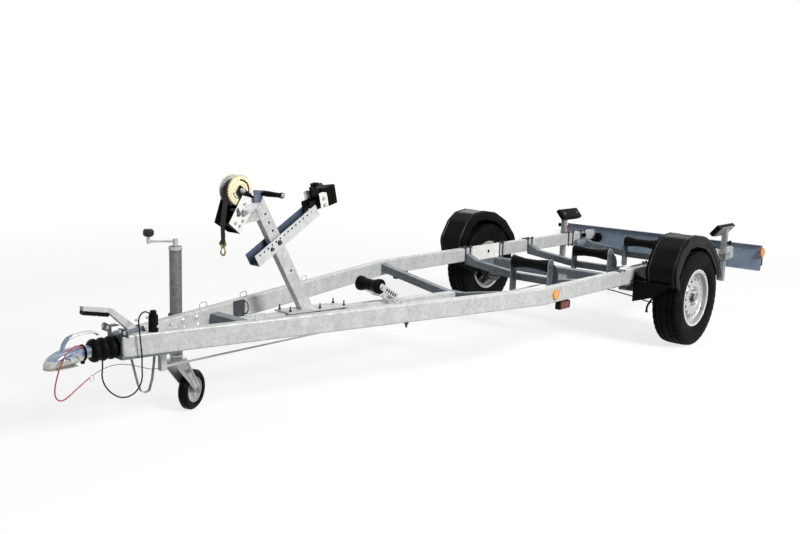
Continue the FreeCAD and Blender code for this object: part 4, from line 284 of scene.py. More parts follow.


# Tones: dark, pale, roughness, metal
# the blue zinc tone is painted shade on the crank arm
BLUE_SHADE_ZINC = ((0.1, 0.13, 0.19), (0.19, 0.225, 0.3), 0.38, 0.35)
PALE_STEEL = ((0.55, 0.56, 0.57), (0.74, 0.74, 0.73), 0.36, 0.35)
HEAD_PALE = ((0.36, 0.37, 0.34), (0.66, 0.66, 0.62), 0.22, 0.6)
# the head's blue tone is painted reflection on the coupling's top and the front of its handle
HEAD_REFLECTED_BLUE = ((0.07, 0.11, 0.2), (0.4, 0.46, 0.54), 0.22, 0.6)
PALE_ZINC = ((0.42, 0.43, 0.44), (0.6, 0.6, 0.6), 0.36, 0.4)
BLACK_GRIP = ((0.003, 0.003, 0.0035), (0.009, 0.009, 0.01), 0.42, 0.0)
DRUM_DARK = ((0.004, 0.004, 0.0045), (0.012, 0.012, 0.013), 0.6, 0.0)
DRUM_ZINC = ((0.42, 0.46, 0.43), (0.66, 0.69, 0.65), 0.3, 0.4)
DRUM_GOLD = ((0.78, 0.72, 0.44), (0.92, 0.87, 0.6), 0.36, 0.12)
# the hanging markers' lens: its own red, darkened as painted shade
SHADED_RED_GLASS = ((0.1, 0.012, 0.006), (0.24, 0.035, 0.012), 0.2, 0.0)
AMBER_GLASS = ((0.6, 0.16, 0.008), (0.86, 0.3, 0.02), 0.2, 0.0)

# Levels where a layered material changes, in metres
# the coupling's two levels mark where its painted blue reflection begins, and the crank's level where its painted
# blue shade begins
HEAD_REFLECTION_Z, LOOP_REFLECTION_X, DRUM_CHEEK_Y, LAMP_SEAM_Z, CRANK_SHADE_Z = 0.476, 2.7, 0.0285, 0.437, 1.082
CRANK_GRIP_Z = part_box("jockey_crank")[1][2] - 0.0365

LOOKS = {
    galvanised: {
        "galvanised": ((0.395, 0.415, 0.41), (0.62, 0.63, 0.615)),
        # a darker copy of galvanised: painted shade on the cross members, axle beam, housing and the plates and tubes
        # near them
        "dull_zinc": ((0.105, 0.13, 0.15), (0.21, 0.24, 0.265), 0.1, 0.3),
        "mid_zinc": ((0.2, 0.22, 0.23), (0.37, 0.39, 0.4)),
        # a very dark copy of galvanised: painted shade on the roller brackets
        "slate_zinc": ((0.045, 0.055, 0.065), (0.12, 0.135, 0.15)),
        # a darker, bluer copy of galvanised: painted shade on the light board
        "board_grey": ((0.18, 0.24, 0.33), (0.3, 0.37, 0.47), 0.1, 0.3),
        "blue_steel": ((0.045, 0.062, 0.1), (0.1, 0.13, 0.19), 0.2, 0.4),
        "dark_steel": ((0.02, 0.023, 0.028), (0.06, 0.066, 0.075), 0.2, 0.4),
        "cover_zinc": ((0.7, 0.7, 0.66), (0.88, 0.88, 0.84), 0.05, 0.4),
        "tube_zinc": ((0.09, 0.097, 0.1), (0.2, 0.21, 0.212), 0.5, 0.7)},
    satin: {
        "bronze": ((0.2, 0.15, 0.06), (0.38, 0.31, 0.14), (0.28, 0.42), 0.6),
        "cap_grey": ((0.16, 0.17, 0.18), (0.3, 0.31, 0.32), (0.3, 0.44), 0.4),
        "zinc": ((0.4, 0.41, 0.42), (0.6, 0.6, 0.59), (0.3, 0.44), 0.45),
        # very dark: partly the cast parts' own grey and partly painted shade, so the drums seen through the rims'
        # holes read dark
        "cast_grey": ((0.025, 0.028, 0.032), (0.085, 0.09, 0.095), (0.45, 0.6), 0.3, 200.0, 0.2),
        "gold_steel": (*DRUM_GOLD[:2], (0.34, 0.46), 0.12)},
    paint: {
        "wheel_silver": ((0.44, 0.44, 0.43), (0.3, 0.3, 0.29), (0.28, 0.4), 0.3, 0.3),
        "red_plastic": ((0.4, 0.02, 0.035), (0.28, 0.04, 0.05), (0.25, 0.35)),
        "black_paint": ((0.003, 0.003, 0.0035), (0.03, 0.03, 0.03), (0.28, 0.42), 0.0, 0.0, 0.12)},
    rubber: {
        "tyre_rubber": ((0.002, 0.0019, 0.0018), (0.0085, 0.008, 0.0075)),
        "black_rubber": ((0.002, 0.002, 0.0022), (0.007, 0.007, 0.0075), (0.36, 0.52))},
    moulded: {
        "black_plastic": ((0.0016, 0.0017, 0.002), (0.005, 0.0053, 0.006)),
        # a little paler than the guards: painted highlight along their beads
        "bead_grey": ((0.012, 0.0125, 0.013), (0.045, 0.046, 0.048), (0.22, 0.34))},
    lens: {
        "red_lens": ((0.35, 0.01, 0.01), (0.6, 0.03, 0.02)),
        "amber_lens": ((0.75, 0.24, 0.01), (0.95, 0.42, 0.04)),
        "clear_lens": ((0.55, 0.55, 0.56), (0.8, 0.8, 0.81))},
    webbing: {"webbing": ((0.004, 0.004, 0.0045), (0.02, 0.02, 0.022))},
    # the bow arm's channel: the dark blue within it is painted shade
    channel: {"channel": (0.0352, ((0.5, 0.51, 0.52), (0.7, 0.71, 0.71)), ((0.035, 0.055, 0.11), (0.1, 0.14, 0.22)))},
    layered: {
        # the coupling's top and its handle's front are dark blue as painted reflection
        "coupling": ("Z", HEAD_PALE, (HEAD_REFLECTION_Z, HEAD_REFLECTED_BLUE)),
        "coupling_bar": ("X", PALE_STEEL, (LOOP_REFLECTION_X, HEAD_REFLECTED_BLUE)),
        "drum": ("Y", DRUM_ZINC, (-DRUM_CHEEK_Y, DRUM_DARK), (DRUM_CHEEK_Y, DRUM_GOLD)),
        # below the level the markers' lenses are red darkened as painted shade; above it the reflectors are amber
        "marker_lens": ("Z", SHADED_RED_GLASS, (LAMP_SEAM_Z, AMBER_GLASS)),
        # the crank arm: pale below the level, painted blue shade above it
        "crank": ("Z", PALE_STEEL, (CRANK_SHADE_Z, BLUE_SHADE_ZINC)),
        "jockey_crank": ("Z", PALE_ZINC, (CRANK_GRIP_Z, BLACK_GRIP))},
}
MATERIALS = {name: make(name, *values) for make, looks in LOOKS.items() for name, values in looks.items()}
LOOK_OF = {
    "light_board": "board_grey", "axle_beam": "dull_zinc", "side_posts": "mid_zinc", "cable_hoop": "mid_zinc",
    "cross_member_bend": "dull_zinc", "cross_member_1": "dull_zinc", "cross_member_2": "dull_zinc",
    "cross_member_3": "dull_zinc", "overrun_housing": "dull_zinc", "roller_brackets": "slate_zinc",
    "winch_crank": "crank", "jockey_crank": "jockey_crank", "handbrake_lever": "galvanised",
    "winch_cover": "cover_zinc", "winch_drum": "drum", "side_markers": "marker_lens", "jockey_tube": "tube_zinc",
    "jockey_rim": "wheel_silver", "bow_arm": "channel", "bow_bracket": "black_paint",
}


def dress_nodes():
    for name, obj in NODES.items():
        obj.data.materials.clear()
        obj.data.materials.append(MATERIALS[LOOK_OF.get(name, SLOT_OF[name])])


# Mesh building: a shape is a pair of its rings of points and whether they close up, or a list of shapes

def frame_of(axis, hint=None):
    """Two directions square to an axis."""
    axis = V(axis).normalized()
    hint = V(hint) if hint else Z if abs(axis.z) < 0.9 else X
    side = (hint - axis * hint.dot(axis)).normalized()
    return axis, side, axis.cross(side)


def circle(centre, radius, count, first=X, second=Z):
    """Points round a centre, from the first direction towards the second."""
    return [V(centre) + (first * cos(angle) + second * sin(angle)) * radius
            for angle in (tau * index / count for index in range(count))]


def lathe(profile, origin, axis, segments=24):
    """A turned shape. The profile is (along, radius) from one end to the other."""
    axis, side, other = frame_of(axis)
    return [circle(V(origin) + axis * along, radius, segments, side, other) for along, radius in profile], False


def rounded(points, radius, steps=6, closed=False):
    """A line of points with each corner replaced by an arc."""
    points = [V(point) for point in points]
    count = len(points)
    made = [] if closed else [points[0]]
    for index in range(count) if closed else range(1, count - 1):
        before, corner, after = points[index - 1], points[index], points[(index + 1) % count]
        back, ahead = before - corner, after - corner
        half = (pi - back.angle(ahead)) / 2
        reach = min(radius * tan(half), back.length * 0.49, ahead.length * 0.49)
        start, end = corner + back.normalized() * reach, corner + ahead.normalized() * reach
        for step in range(steps + 1):
            share = step / steps
            made.append(start.lerp(corner, share).lerp(corner.lerp(end, share), share))
    return made if closed else made + [points[-1]]


def tube(points, radius, segments=12, closed=False, flat=1.0, hint=None):
    """A round or flattened bar along a line of points."""
    points = [V(point) for point in points]
    count = len(points)
    rings, side = [], None
    for index, point in enumerate(points):
        before = points[index - 1] if closed or index else point
        after = points[(index + 1) % count] if closed or index < count - 1 else point
        axis = (after - before).normalized()
        side = side or frame_of(axis, hint)[1]
        side = (side - axis * side.dot(axis)).normalized()
        rings.append(circle(point, radius, segments, side, axis.cross(side) * flat))
    return rings, closed


def hoop(centre, radius, thickness, count, segments=8, second=Z):
    """A wire ring square to Y."""
    return tube(circle(centre, radius, count, X, second), thickness, segments, closed=True)


def prism(outline, depth):
    """A flat outline pushed along a vector."""
    return [[V(point) for point in outline], [V(point) + depth for point in outline]], False


def box(centre, sizes, axes=(X, Y, Z)):
    """A box of full sizes along three axes."""
    first, second, third = (axis * size / 2 for axis, size in zip(axes, sizes))
    return prism([V(centre) - third + first * a + second * b for a, b in ((-1, -1), (1, -1), (1, 1), (-1, 1))],
                 third * 2)


def hexagon(origin, axis, across, height):
    """A bolt head or nut with chamfered corners."""
    axis, side, other = frame_of(axis)
    return [circle(V(origin) + axis * along, across / sqrt(3) * share, 6, side, other)
            for along, share in ((0, 1), (height * 0.76, 1), (height, 0.88))], False


def bolt(origin, axis, size=10, stub=0):
    """A washer and a hexagon on a face, with an optional threaded end that stands out of it."""
    seat = V(origin) + axis * size * 0.2
    parts = [lathe([(0, size * 1.05), (size * 0.2, size * 1.05)], origin, axis, 20),
             hexagon(seat, axis, size * 1.7, size * 0.75)]
    if stub:
        turns = max(2, int(stub / (size * 0.2)))
        profile = [(0, size * 0.5)]
        for turn in range(turns):
            profile += [(stub * (turn + 0.5) / turns, size * 0.42), (stub * (turn + 1) / turns, size * 0.5)]
        parts.append(lathe(profile, seat + axis * size * 0.6, axis, 12))
    return parts


def u_bolt(corners, size, tail, radius):
    """A bent rod whose two upright ends carry nuts."""
    return [tube(rounded(corners, radius), size / 2, 10)] + [
        bolt(V(end) - Z * tail, Z, size, tail * 0.6) for end in (corners[0], corners[-1])]


def fill(bm, shape):
    """Adds a shape's faces, between its rings and at its open ends."""
    if isinstance(shape, list):
        for part in shape:
            fill(bm, part)
        return
    rings, closed = shape
    loops = [[bm.verts.new(point * MM) for point in ring] for ring in rings]
    for first, second in list(zip(loops, loops[1:])) + ([(loops[-1], loops[0])] if closed else []):
        for index, point in enumerate(first):
            following = (index + 1) % len(first)
            bm.faces.new((point, first[following], second[following], second[index]))
    if not closed:
        bm.faces.new(loops[0][::-1])
        bm.faces.new(loops[-1])


def piece(name, material, shape, body="chassis", crease=35.0, bevel=0):
    """Makes a shaded mesh of a shape and lets it ride on a body."""
    bm = bmesh.new()
    fill(bm, shape)
    bmesh.ops.recalc_face_normals(bm, faces=bm.faces)
    limit = radians(crease)
    for face in bm.faces:
        face.smooth = True
    for edge in bm.edges:
        edge.smooth = len(edge.link_faces) == 2 and edge.calc_face_angle() < limit
    mesh = bpy.data.meshes.new(name)
    bm.to_mesh(mesh)
    bm.free()
    mesh.materials.append(MATERIALS[material])
    obj = add_object(name, mesh)
    if bevel:
        edges = obj.modifiers.new("edges", "BEVEL")
        edges.width = bevel * MM
        edges.segments = 2
        edges.limit_method = "ANGLE"
        edges.angle_limit = limit
        edges.harden_normals = True
    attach(obj, body)
    return obj


# Cords: the route points of the CAD source, in metres

CABLE = [
    (2.3658, 0.0725, 0.6242), (2.3898, 0.08, 0.6406), (2.4186, 0.0875, 0.6376), (2.4378, 0.0918, 0.6137),
    (2.434, 0.094, 0.566), (2.431, 0.096, 0.508), (2.423, 0.094, 0.449), (2.42, 0.087, 0.392),
    (2.411, 0.076, 0.34), (2.417, 0.06, 0.293), (2.446, 0.045, 0.259), (2.489, 0.031, 0.254),
    (2.528, 0.018, 0.279), (2.556, 0.008, 0.318), (2.567, 0.003, 0.362), (2.5593, 0.0, 0.402), (2.5593, 0.0, 0.436)]
TETHER = [
    (2.6629, 0.0211, 0.5135), (2.6815, 0.0234, 0.525), (2.709, 0.0285, 0.524), (2.733, 0.038, 0.512),
    (2.757, 0.046, 0.494), (2.777, 0.05, 0.466), (2.791, 0.0505, 0.434), (2.801, 0.05, 0.401),
    (2.807, 0.047, 0.367), (2.805, 0.043, 0.335), (2.79, 0.038, 0.311), (2.765, 0.032, 0.303),
    (2.735, 0.026, 0.313), (2.703, 0.02, 0.331), (2.669, 0.015, 0.349), (2.64, 0.0125, 0.366), (2.622, 0.012, 0.375)]
WIRE = [
    (2.622, 0.012, 0.375), (2.598, 0.012, 0.387), (2.568, 0.012, 0.397), (2.535, 0.0125, 0.4045),
    (2.5, 0.012, 0.4055), (2.462, 0.012, 0.4), (2.42, 0.012, 0.388), (2.375, 0.012, 0.37),
    (2.331, 0.012, 0.352), (2.298, 0.011, 0.346), (2.2705, 0.011, 0.346)]


def smooth_cord(name, points, diameter, material, node):
    """A cord on a NURBS line with the route's points as its control points."""
    data = bpy.data.curves.new(name, "CURVE")
    data.dimensions = "3D"
    data.bevel_depth = diameter / 2
    data.bevel_resolution = 5
    data.use_fill_caps = True
    spline = data.splines.new("NURBS")
    spline.points.add(len(points) - 1)
    for point, place in zip(spline.points, points):
        point.co = (*place, 1.0)
    spline.order_u = 3
    spline.use_endpoint_u = True
    data.resolution_u = 12
    data.materials.append(MATERIALS[material])
    obj = add_object(name, data)
    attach(obj, "chassis")
    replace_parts(obj, node)
    return obj


def make_cords():
    cable = smooth_cord("plug_cable", CABLE, 0.0065, "black_plastic", "electric_cable")
    tether = smooth_cord("red_tether", TETHER, 0.006, "red_plastic", "breakaway_cable")
    wire = smooth_cord("tether_wire", WIRE, 0.003, "dark_steel", "breakaway_wire")
    before, end = V(TETHER[-2]) / MM, V(TETHER[-1]) / MM
    along = (end - before).normalized()
    ferrule = piece("tether_ferrule", "zinc", [
        lathe([(0, 3.1), (2, 4.2), (14, 4.2), (16, 3.4)], end - along * 10, along),
        hoop(end + along * 4 - Z * 12, 10, 1.6, 20, second=Z * 1.3)])


# Sizes of the CAD source that the trim follows; from here on, shapes are in millimetres

AXLE_X = -1403.5
WHEEL_Z = 335
WHEEL_Y = 882
RAIL_TOP = 540
RAIL_HALF = 642
BEND_X = 76.5
BEND_HALF = 667
TAPER = 0.2475
DRUM = V((1832.44, 0, 1142.24))
ARM_HEAD, ARM_FOOT = V((866.5, 0, 562)), V((616.5, 0, 420.3))
NOSE_AXIS = V((2498.6, 0, 484))
CROSS_X = (-868.5, -1713.5, -2558.5)
# a dark disc of this height is painted shade, for the inside of a hole and for the shade in the gear's rim
SHADE_SPOT = 0.6  # the height of a dark disc that stands for a hole


def on_rail(x, side, z=RAIL_TOP, across=0):
    """A point over a rail's middle line; across is counted away from the trailer's middle."""
    if x < BEND_X:
        return V((x, side * (RAIL_HALF + across), z))
    return V((x, side * (BEND_HALF - (x - BEND_X) * tan(TAPER) - (25 - across) / cos(TAPER)), z))


def rail_way(x, side):
    """Along the rail, and away from the trailer's middle."""
    turn = 0 if x < BEND_X else TAPER
    return (V((cos(turn), -side * sin(turn), 0)), V((sin(turn), side * cos(turn), 0)))


# Wheels and mudguards

TYRE_HALF_SECTION = [
    (70, 196), (80, 199), (86.5, 207), (90.5, 221), (92.5, 224), (92.5, 228),
    (94, 232), (96.8, 250), (97.2, 266), (96.2, 280), (94.5, 283), (94.5, 288),
    (95.5, 291), (92.5, 308), (87, 320.5), (79.5, 329), (63, 332.5), (60.5, 326.5),
    (54, 326.5), (51.5, 334), (29, 335), (26.5, 327.5), (20, 327.5), (17.5, 335)]
TREAD_STEPS = 168


def make_tyres():
    """Tyres with tread grooves, shoulder cuts and rings on the side walls."""
    for name, side in SIDES:
        rings = []
        for step, out in enumerate(circle((0, 0, 0), 1.0, TREAD_STEPS)):
            half = []
            for across, radius in TYRE_HALF_SECTION:
                cut = 4.5 if step % 4 == 0 and radius > 307.5 and across > 51.5 else 0
                cut += 3 if step % 4 == 2 and radius > 330 and across < 51.5 else 0
                half.append((across, radius - cut))
            rings.append([V((AXLE_X, side * WHEEL_Y, WHEEL_Z)) + Y * across + out * radius
                          for across, radius in half + [(-across, radius) for across, radius in half[::-1]]])
        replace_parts(piece("tread_" + name, "tyre_rubber", (rings, True), "wheel_" + name, 28.0), "tyre_" + name)


def make_wheel_trim():
    """Nuts, cap, rolled edge made pale as painted highlight, a black ring of painted shade behind the disc's holes,
    and valve of each rim.
    """
    for name, side in SIDES:
        out, wheel = Y * side, "wheel_" + name
        face = V((AXLE_X, side * 930, WHEEL_Z))
        piece("wheel_nuts_" + name, "zinc", [[
            lathe([(-1.5, 12.5), (3, 12.5), (5, 10.5)], spot, out, 18),
            hexagon(spot + out * 4, out, 19, 14)] for spot in circle(face, 56, 5, Z, -X)], wheel)
        piece("hub_cap_" + name, "cap_grey", [
            lathe([(24, 28.4), (27.5, 28.4), (30, 25.5), (32, 18), (32.6, 4)], face, out, 36),
            lathe([(-4.5, 33.5), (-0.5, 33.5), (1, 30)], face, out, 36)], wheel)
        # the rim's rolled edge in its own silver, made paler as painted highlight
        piece("rim_edge_highlight_" + name, "cover_zinc", hoop((AXLE_X, side * 960, WHEEL_Z), 194.5, 3.5, 72, 10), wheel)
        # a black ring behind the disc's holes: painted shade seen through them
        section = ((8.3, 108), (8.3, 118.7), (-16, 136.8), (-17.5, 136), (7, 117.8), (7, 108))
        piece("hole_shade_ring_" + name, "black_rubber", (
            [[face + out * along + arm * radius for along, radius in section] for arm in circle((0, 0, 0), 1.0, 64)],
            True), wheel)
        piece("valve_" + name, "black_rubber", lathe([
            (-12, 5.5), (4, 5), (6, 3.6), (22, 3.6), (22.5, 4.4), (31, 4.2),
            (32, 3)], (AXLE_X - 128, side * 927, WHEEL_Z - 92), out, 14), wheel)


GUARD_POINTS = ((388.9, 453), (420, 562.9), (327.2, 705.9), (238.1, 765.9), (126.8, 781),
                (-44.2, 758), (-182.1, 690.1), (-311, 564.8), (-362, 453))


def guard_line(inset, y):
    """The mudguard's outline square to the axle, drawn in by an inset."""
    points = []
    for along, height in GUARD_POINTS:
        share = 1 - inset / hypot(along, height - WHEEL_Z)
        points.append((AXLE_X + along * share, y, WHEEL_Z + (height - WHEEL_Z) * share))
    return rounded(points, 90 - inset)


def make_guard_trim():
    """Beads and skirts of the mudguards, the bolts of their stays and the levers behind the wheels."""
    for name, side in SIDES:
        out = Y * side
        # the beads are real, and their paler grey is painted highlight along the guards' edges
        piece("guard_bead_" + name, "bead_grey", [
            tube(guard_line(inset, side * y), radius, segments) for inset, y, radius, segments in
            ((1.5, 966.5, 6, 10), (43.5, 983.5, 4, 10), (1.5, 793.5, 5.5, 10), (32, 774.5, 2.5, 8))])
        piece("guard_skirt_" + name, "black_plastic", [
            ([[point + out * reach for point, reach in ((a, y), (a, y + 3), (b, y + 3), (b, y))]
              for a, b in zip(guard_line(start, 0), guard_line(end, 0))], False)
            for start, end, y in ((43, 80, 981.5), (4, 70, 773))])
        piece("stay_bolts_" + name, "black_paint", [
            bolt((AXLE_X + 363.2, side * across, height), X, 8)
            for height, across in ((447, 790), (447, 860), (470, 920))] + [
            bolt((AXLE_X + 341, side * 672, height), out, 8) for height in (458, 500)])
        path = [(-1330, 330), (-1290, 312), (-1245, 285), (-1214, 266), (-1205, 250), (-1205, 228)]
        piece("arm_lever_" + name, "black_rubber", [
            tube(rounded([(x, side * 700, z) for x, z in path], 20, 4), 7),
            lathe([(0, 6), (2, 9.5), (12, 9.5), (14, 6)], (-1205, side * 700, 232), -Z, 16)])


# Coupling, bellows and brake levers

HEAD_SECTIONS = [
    # along X, half width, bottom, top
    (2622.6, 27, 457, 511), (2656, 27, 457, 511), (2664, 30, 450, 515),
    (2700, 34.5, 443, 513), (2736, 37.2, 440, 512), (2762, 37.8, 439, 506),
    (2785, 36.5, 438.5, 496), (2802, 33, 438.5, 484), (2815, 26.5, 439, 472),
    (2821.5, 18, 440, 462), (2824.5, 9, 443, 456)]
CORNER_POWER = 0.72


def soft_ring(x, half, low, high, count=28):
    """A soft-cornered section square to X."""
    middle, rise = (low + high) / 2, (high - low) / 2
    return [V((x, half * copysign(abs(spot.x) ** CORNER_POWER, spot.x),
               middle + rise * copysign(abs(spot.z) ** CORNER_POWER, spot.z)))
            for spot in circle((0, 0, 0), 1.0, count)]


def make_coupling():
    """The pressed ball coupling: shell, flange, looped handle, bolts and collar."""
    flange = [(2690, 36), (2740, 40), (2775, 40.5), (2803, 36), (2816.5, 28.5), (2825, 14)]
    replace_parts(piece("coupling_shell", "coupling", [
        ([soft_ring(*section) for section in HEAD_SECTIONS], False),
        lathe([(0, 17.5), (130, 17.5)], NOSE_AXIS, X, 20),
        prism([(x, y, 438.2) for x, y in flange + [(x, -y) for x, y in flange[::-1]]], Z * 4.5)],
        crease=50.0), "coupling_head")
    path = [(2747, 503), (2740, 530), (2722, 556), (2690, 566.5), (2645, 570), (2608, 569), (2588, 562), (2580, 553)]
    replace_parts(piece("coupling_loop", "coupling_bar", tube(
        rounded([(x, 0, z) for x, z in path], 30, 4), 15, 16, flat=0.42, hint=Y), crease=60.0), "coupling_handle")
    piece("coupling_bolts", "zinc", [[
        bolt((2688, side * 32.8, 482), Y * side),
        bolt((2725, side * 36, 476), Y * side, 9),
        lathe([(0, 7.5), (4, 7.5), (6.5, 4)], (2756, side * 36.8, 474), Y * side, 16)]
        for side in SIGNS])
    piece("coupling_collar", "black_rubber", [
        lathe([(0, 29), (1, 36.5), (6, 36.5), (7, 29)], (2649, 0, 484), X, 32),
        lathe([(0, 6), (4, 9.5), (12, 9.5), (15, 5)], (2652.5, 0, 450), -Z, 16)])


def make_bellows():
    """Three wide folds of rubber between the front plate and the coupling."""
    profile = [(0, 44), (4, 48)]
    for start in (6, 45, 84):
        profile += [(start + share * 36, 37 + 15 * sin(pi * share) ** 0.55)
                    for share in (0.0, 0.05, 0.12, 0.25, 0.4, 0.6, 0.75, 0.88, 0.95)]
    profile += [(120.5, 37), (121.5, 33), (123.8, 33)]
    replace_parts(piece("bellows_folds", "black_rubber", lathe(profile, NOSE_AXIS, X, 40)), "bellows")


def make_front_trim():
    """Ears behind the bellows, bolts of the housing, grip and pivot of the brake lever."""
    ear = [(30, 540), (106, 540), (106, 566), (88, 578), (30, 572)]
    piece("front_ears", "dull_zinc", [[
        prism([(2493, side * y, z) for y, z in ear], X * 5),
        box((2470, side * 70, 562.5), (56, 36, 5))] for side in SIGNS], bevel=1.2)
    piece("front_bolts", "zinc", [
        bolt((2498, y, 560), X, 9) for y in (85, 50, -50, -85)] + [
        bolt((x, side * y, 560), Z) for x, y in ((2335, 80), (2270, 92)) for side in SIGNS] + [
        bolt((2498, side * 80, 462), X) for side in SIGNS])
    knee, tip = V((2517.5, 0, 646)), V((2651.5, 0, 674))
    along = (tip - knee).normalized()
    under = along.cross(-Y)
    half = [(16.5, -9.5), (16.5, 6), (11, 9.5)]
    piece("lever_grip", "black_plastic", (
        [[knee + along * reach + Y * (across * scale) + under * (6 + (9.5 + depth) * scale)
          for across, depth in half + [(-across, depth) for across, depth in half[::-1]]]
         for reach, scale in ((8, 0.8), (12, 1.0), (60, 1.0), (62, 0.94), (68, 0.94), (70, 1.0),
                              (131, 1.0), (136, 0.8))], False))
    piece("lever_pivot", "zinc", [bolt((2380.5, side * 14.2, 528), Y * side, 12) for side in SIGNS])


def make_jockey_trim():
    """Collars of the jockey tube; cap, bolts and ribs of its fork."""
    foot = V((2030.5, -212.4, 0))
    piece("jockey_collars", "zinc", [
        lathe([(0, 30.2), (1, 33.5), (14, 33.5), (16, 30.5)], foot + Z * 844, Z, 32),
        lathe([(0, 30.5), (4, 33), (10, 33), (12, 30.5)], foot + Z * 310, Z, 32)])
    hub, away = V((1901.6, -267.1, 103)), V((-0.39, 0.92, 0)).normalized()
    piece("fork_bolts", "cap_grey", [
        lathe([(0, 34.5), (1, 37), (7, 37), (8, 34.5)], foot + Z * 290, Z, 32)] + [[
            bolt(hub + away * (side * 37.2), away * side, 12, 6),
            lathe([(0, 20), (1.5, 20), (2.5, 18)], hub + away * (side * 36.6), away * side, 24)]
            for side in SIGNS], "jockey_caster")
    head = V((2019, -217.3, 276))
    along = (hub - head).normalized()
    across = along.cross(away)
    piece("fork_ribs", "cap_grey", [[
        [tube([head + along * 20 + across * (sense * 20) + away * (side * 37.2),
               hub - along * 12 + across * (sense * 12.5) + away * (side * 37.2)], 2.2, 8)
         for sense in SIGNS],
        bolt(head + along * 60 + away * (side * 36.8), away * side)] for side in SIGNS], "jockey_caster")


# Winch and bow stop

STRAP_LINE = [
    (1885.7, 1150), (1909.7, 985.7), (1909.7, 908), (1915, 898.5), (1916, 892), (1914, 887.2),
    (1909.5, 885.3), (1905, 887.2), (1903, 892), (1903.8, 898.5), (1906.6, 908), (1906.6, 940)]
STRAP_HALF_SECTION = [(-18, -0.6), (-17.2, -1.3), (17.2, -1.3), (18, -0.6)]


def make_strap():
    """The turns at the sides of the wound strap, and its end sewn round the hook's bar."""
    turns = []
    for turn in range(11):
        radius = 19 + turn * 3
        turns += [(28.4, radius), (29, radius + 0.6), (29, radius + 2.1), (28.4, radius + 2.7)]
    profile = [(-across, radius) for across, radius in turns] + [(-20, 51.8), (20, 51.8)] + turns[::-1]
    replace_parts(piece("strap_turns", "webbing", lathe(profile, DRUM, Y, 56), "winch_drum"), "winch_strap_roll")
    line = [V((x, 0, z)) for x, z in STRAP_LINE]
    line = rounded(line[:3], 14) + line[3:]
    section = STRAP_HALF_SECTION + [(-across, -depth) for across, depth in STRAP_HALF_SECTION]
    rings = []
    for index, point in enumerate(line):
        along = (line[min(index + 1, len(line) - 1)] - line[max(index - 1, 0)]).normalized()
        narrow = min(1.0, max(0.72, 0.72 + (point.z - 930) * 0.005))
        rings.append([point + Y * (across * narrow) + Y.cross(along) * depth for across, depth in section])
    seams = [box((1911.2, 0, z), (0.6, 21, 1)) for z in (912, 919, 926, 933)]
    seams += [box((1911.2, y, 922.5), (0.6, 1, 22)) for y in (-10, 10)]
    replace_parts(piece("strap_end", "webbing", [(rings, False)] + seams, crease=30.0), "winch_strap_tail")


def make_winch_trim():
    """Black arcs of painted shade in the recessed rim of the drum's gear, rings of the gear, nuts and bolts of the
    side plate, and the ratchet.
    """
    shade_arcs = []
    # black arcs on the gear's face: painted shade in its recessed rim
    for start, turn, inner, outer in ((88, 104, 46.5, 53.5), (215, 50, 41, 45), (300, 50, 41, 45)):
        arms = [V((cos(angle), 0, sin(angle)))
                for angle in (radians(start + turn * step / 14) for step in range(15))]
        shade_arcs.append(prism([DRUM + Y * 35.1 + arm * outer for arm in arms]
                             + [DRUM + Y * 35.1 + arm * inner for arm in arms[::-1]], Y * SHADE_SPOT))
    piece("gear_shade_arcs", "black_paint", shade_arcs, "winch_drum")
    piece("gear_rings", "gold_steel", [hoop(DRUM + Y * y, radius, thickness, 60) for y, radius, thickness in
                                       ((35.2, 57, 2), (35.2, 33.5, 1.8), (-28.8, 73.2, 1.1))],
          "winch_drum")
    piece("winch_nuts", "zinc", [bolt(DRUM + Y * 47.2, Y, 12, 10)] + [
        bolt((x, 49.7, z), Y, 8) for x, z in ((1848, 975), (1872, 990), (1830, 998), (1818, 1078))] + [
        bolt((1822.1, 49.7, 1043.8), Y, 11, 6)])
    spot = V((1856, 49.7, 1030))
    pawl = [(4, -8), (12, 22), (4, 34), (-10, 6)]
    piece("winch_ratchet", "blue_steel", [
        lathe([(0, 10), (6, 10), (7, 8)], spot, Y, 20),
        prism([spot + V((x, 1, z)) for x, z in pawl], Y * 4)], bevel=0.6)


def make_crank_trim():
    """The crank's moulded grip, its washer and the nut on the shaft."""
    base = V((1723.1, 70.2, 1126.8))
    shares = ((0, 0.7), (0.02, 0.82), (0.1, 0.9), (0.2, 1.0), (0.3, 0.99), (0.5, 0.88), (0.7, 0.81), (0.8, 0.8),
              (0.88, 0.88), (0.93, 0.97), (0.96, 1.0), (0.985, 0.99), (0.998, 0.9))
    piece("crank_grip", "black_rubber", lathe(
        [(share * 144.5, 14 * scale + 0.6) for share, scale in shares], base, Y, 28), "winch_crank")
    piece("crank_ends", "zinc", [
        lathe([(0, 8.5), (1.2, 8.5), (1.8, 7)], base + Y * 144.3, Y, 20),
        hexagon(base + Y * 145.8, Y, 11, 5),
        bolt((1822.09, 69.6, 1043.78), Y, 12, 6)], "winch_crank")


def make_hook():
    """A snap hook: swivel eye, curved body, gate, and the bar and bail that hold the strap."""
    top = V((1909.5, 0, 892))
    body, gate, bar, bail = ([top + V((0, across, down)) for across, down in path] for path in (
        [(0, -20), (13.5, -24), (18, -40), (14, -55), (1, -61), (-13, -55), (-16.5, -43)], [(-16, -44), (-6, -21)],
        [(-22.5, 0), (22.5, 0)], [(22.5, 0), (22.5, -10), (0, -17), (-22.5, -10), (-22.5, 0)]))
    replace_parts(piece("strap_snap_hook", "bronze", [
        lathe([(0, 6), (2, 9.5), (15, 9.5), (18, 6.5)], top - Z * 4.5, -Z, 20),
        tube(rounded(body, 12, 3), 4.6),
        tube(gate, 2.8, 10),
        tube(bar, 4.5),
        tube(rounded(bail, 8, 4), 4)], crease=60.0), "snap_hook")


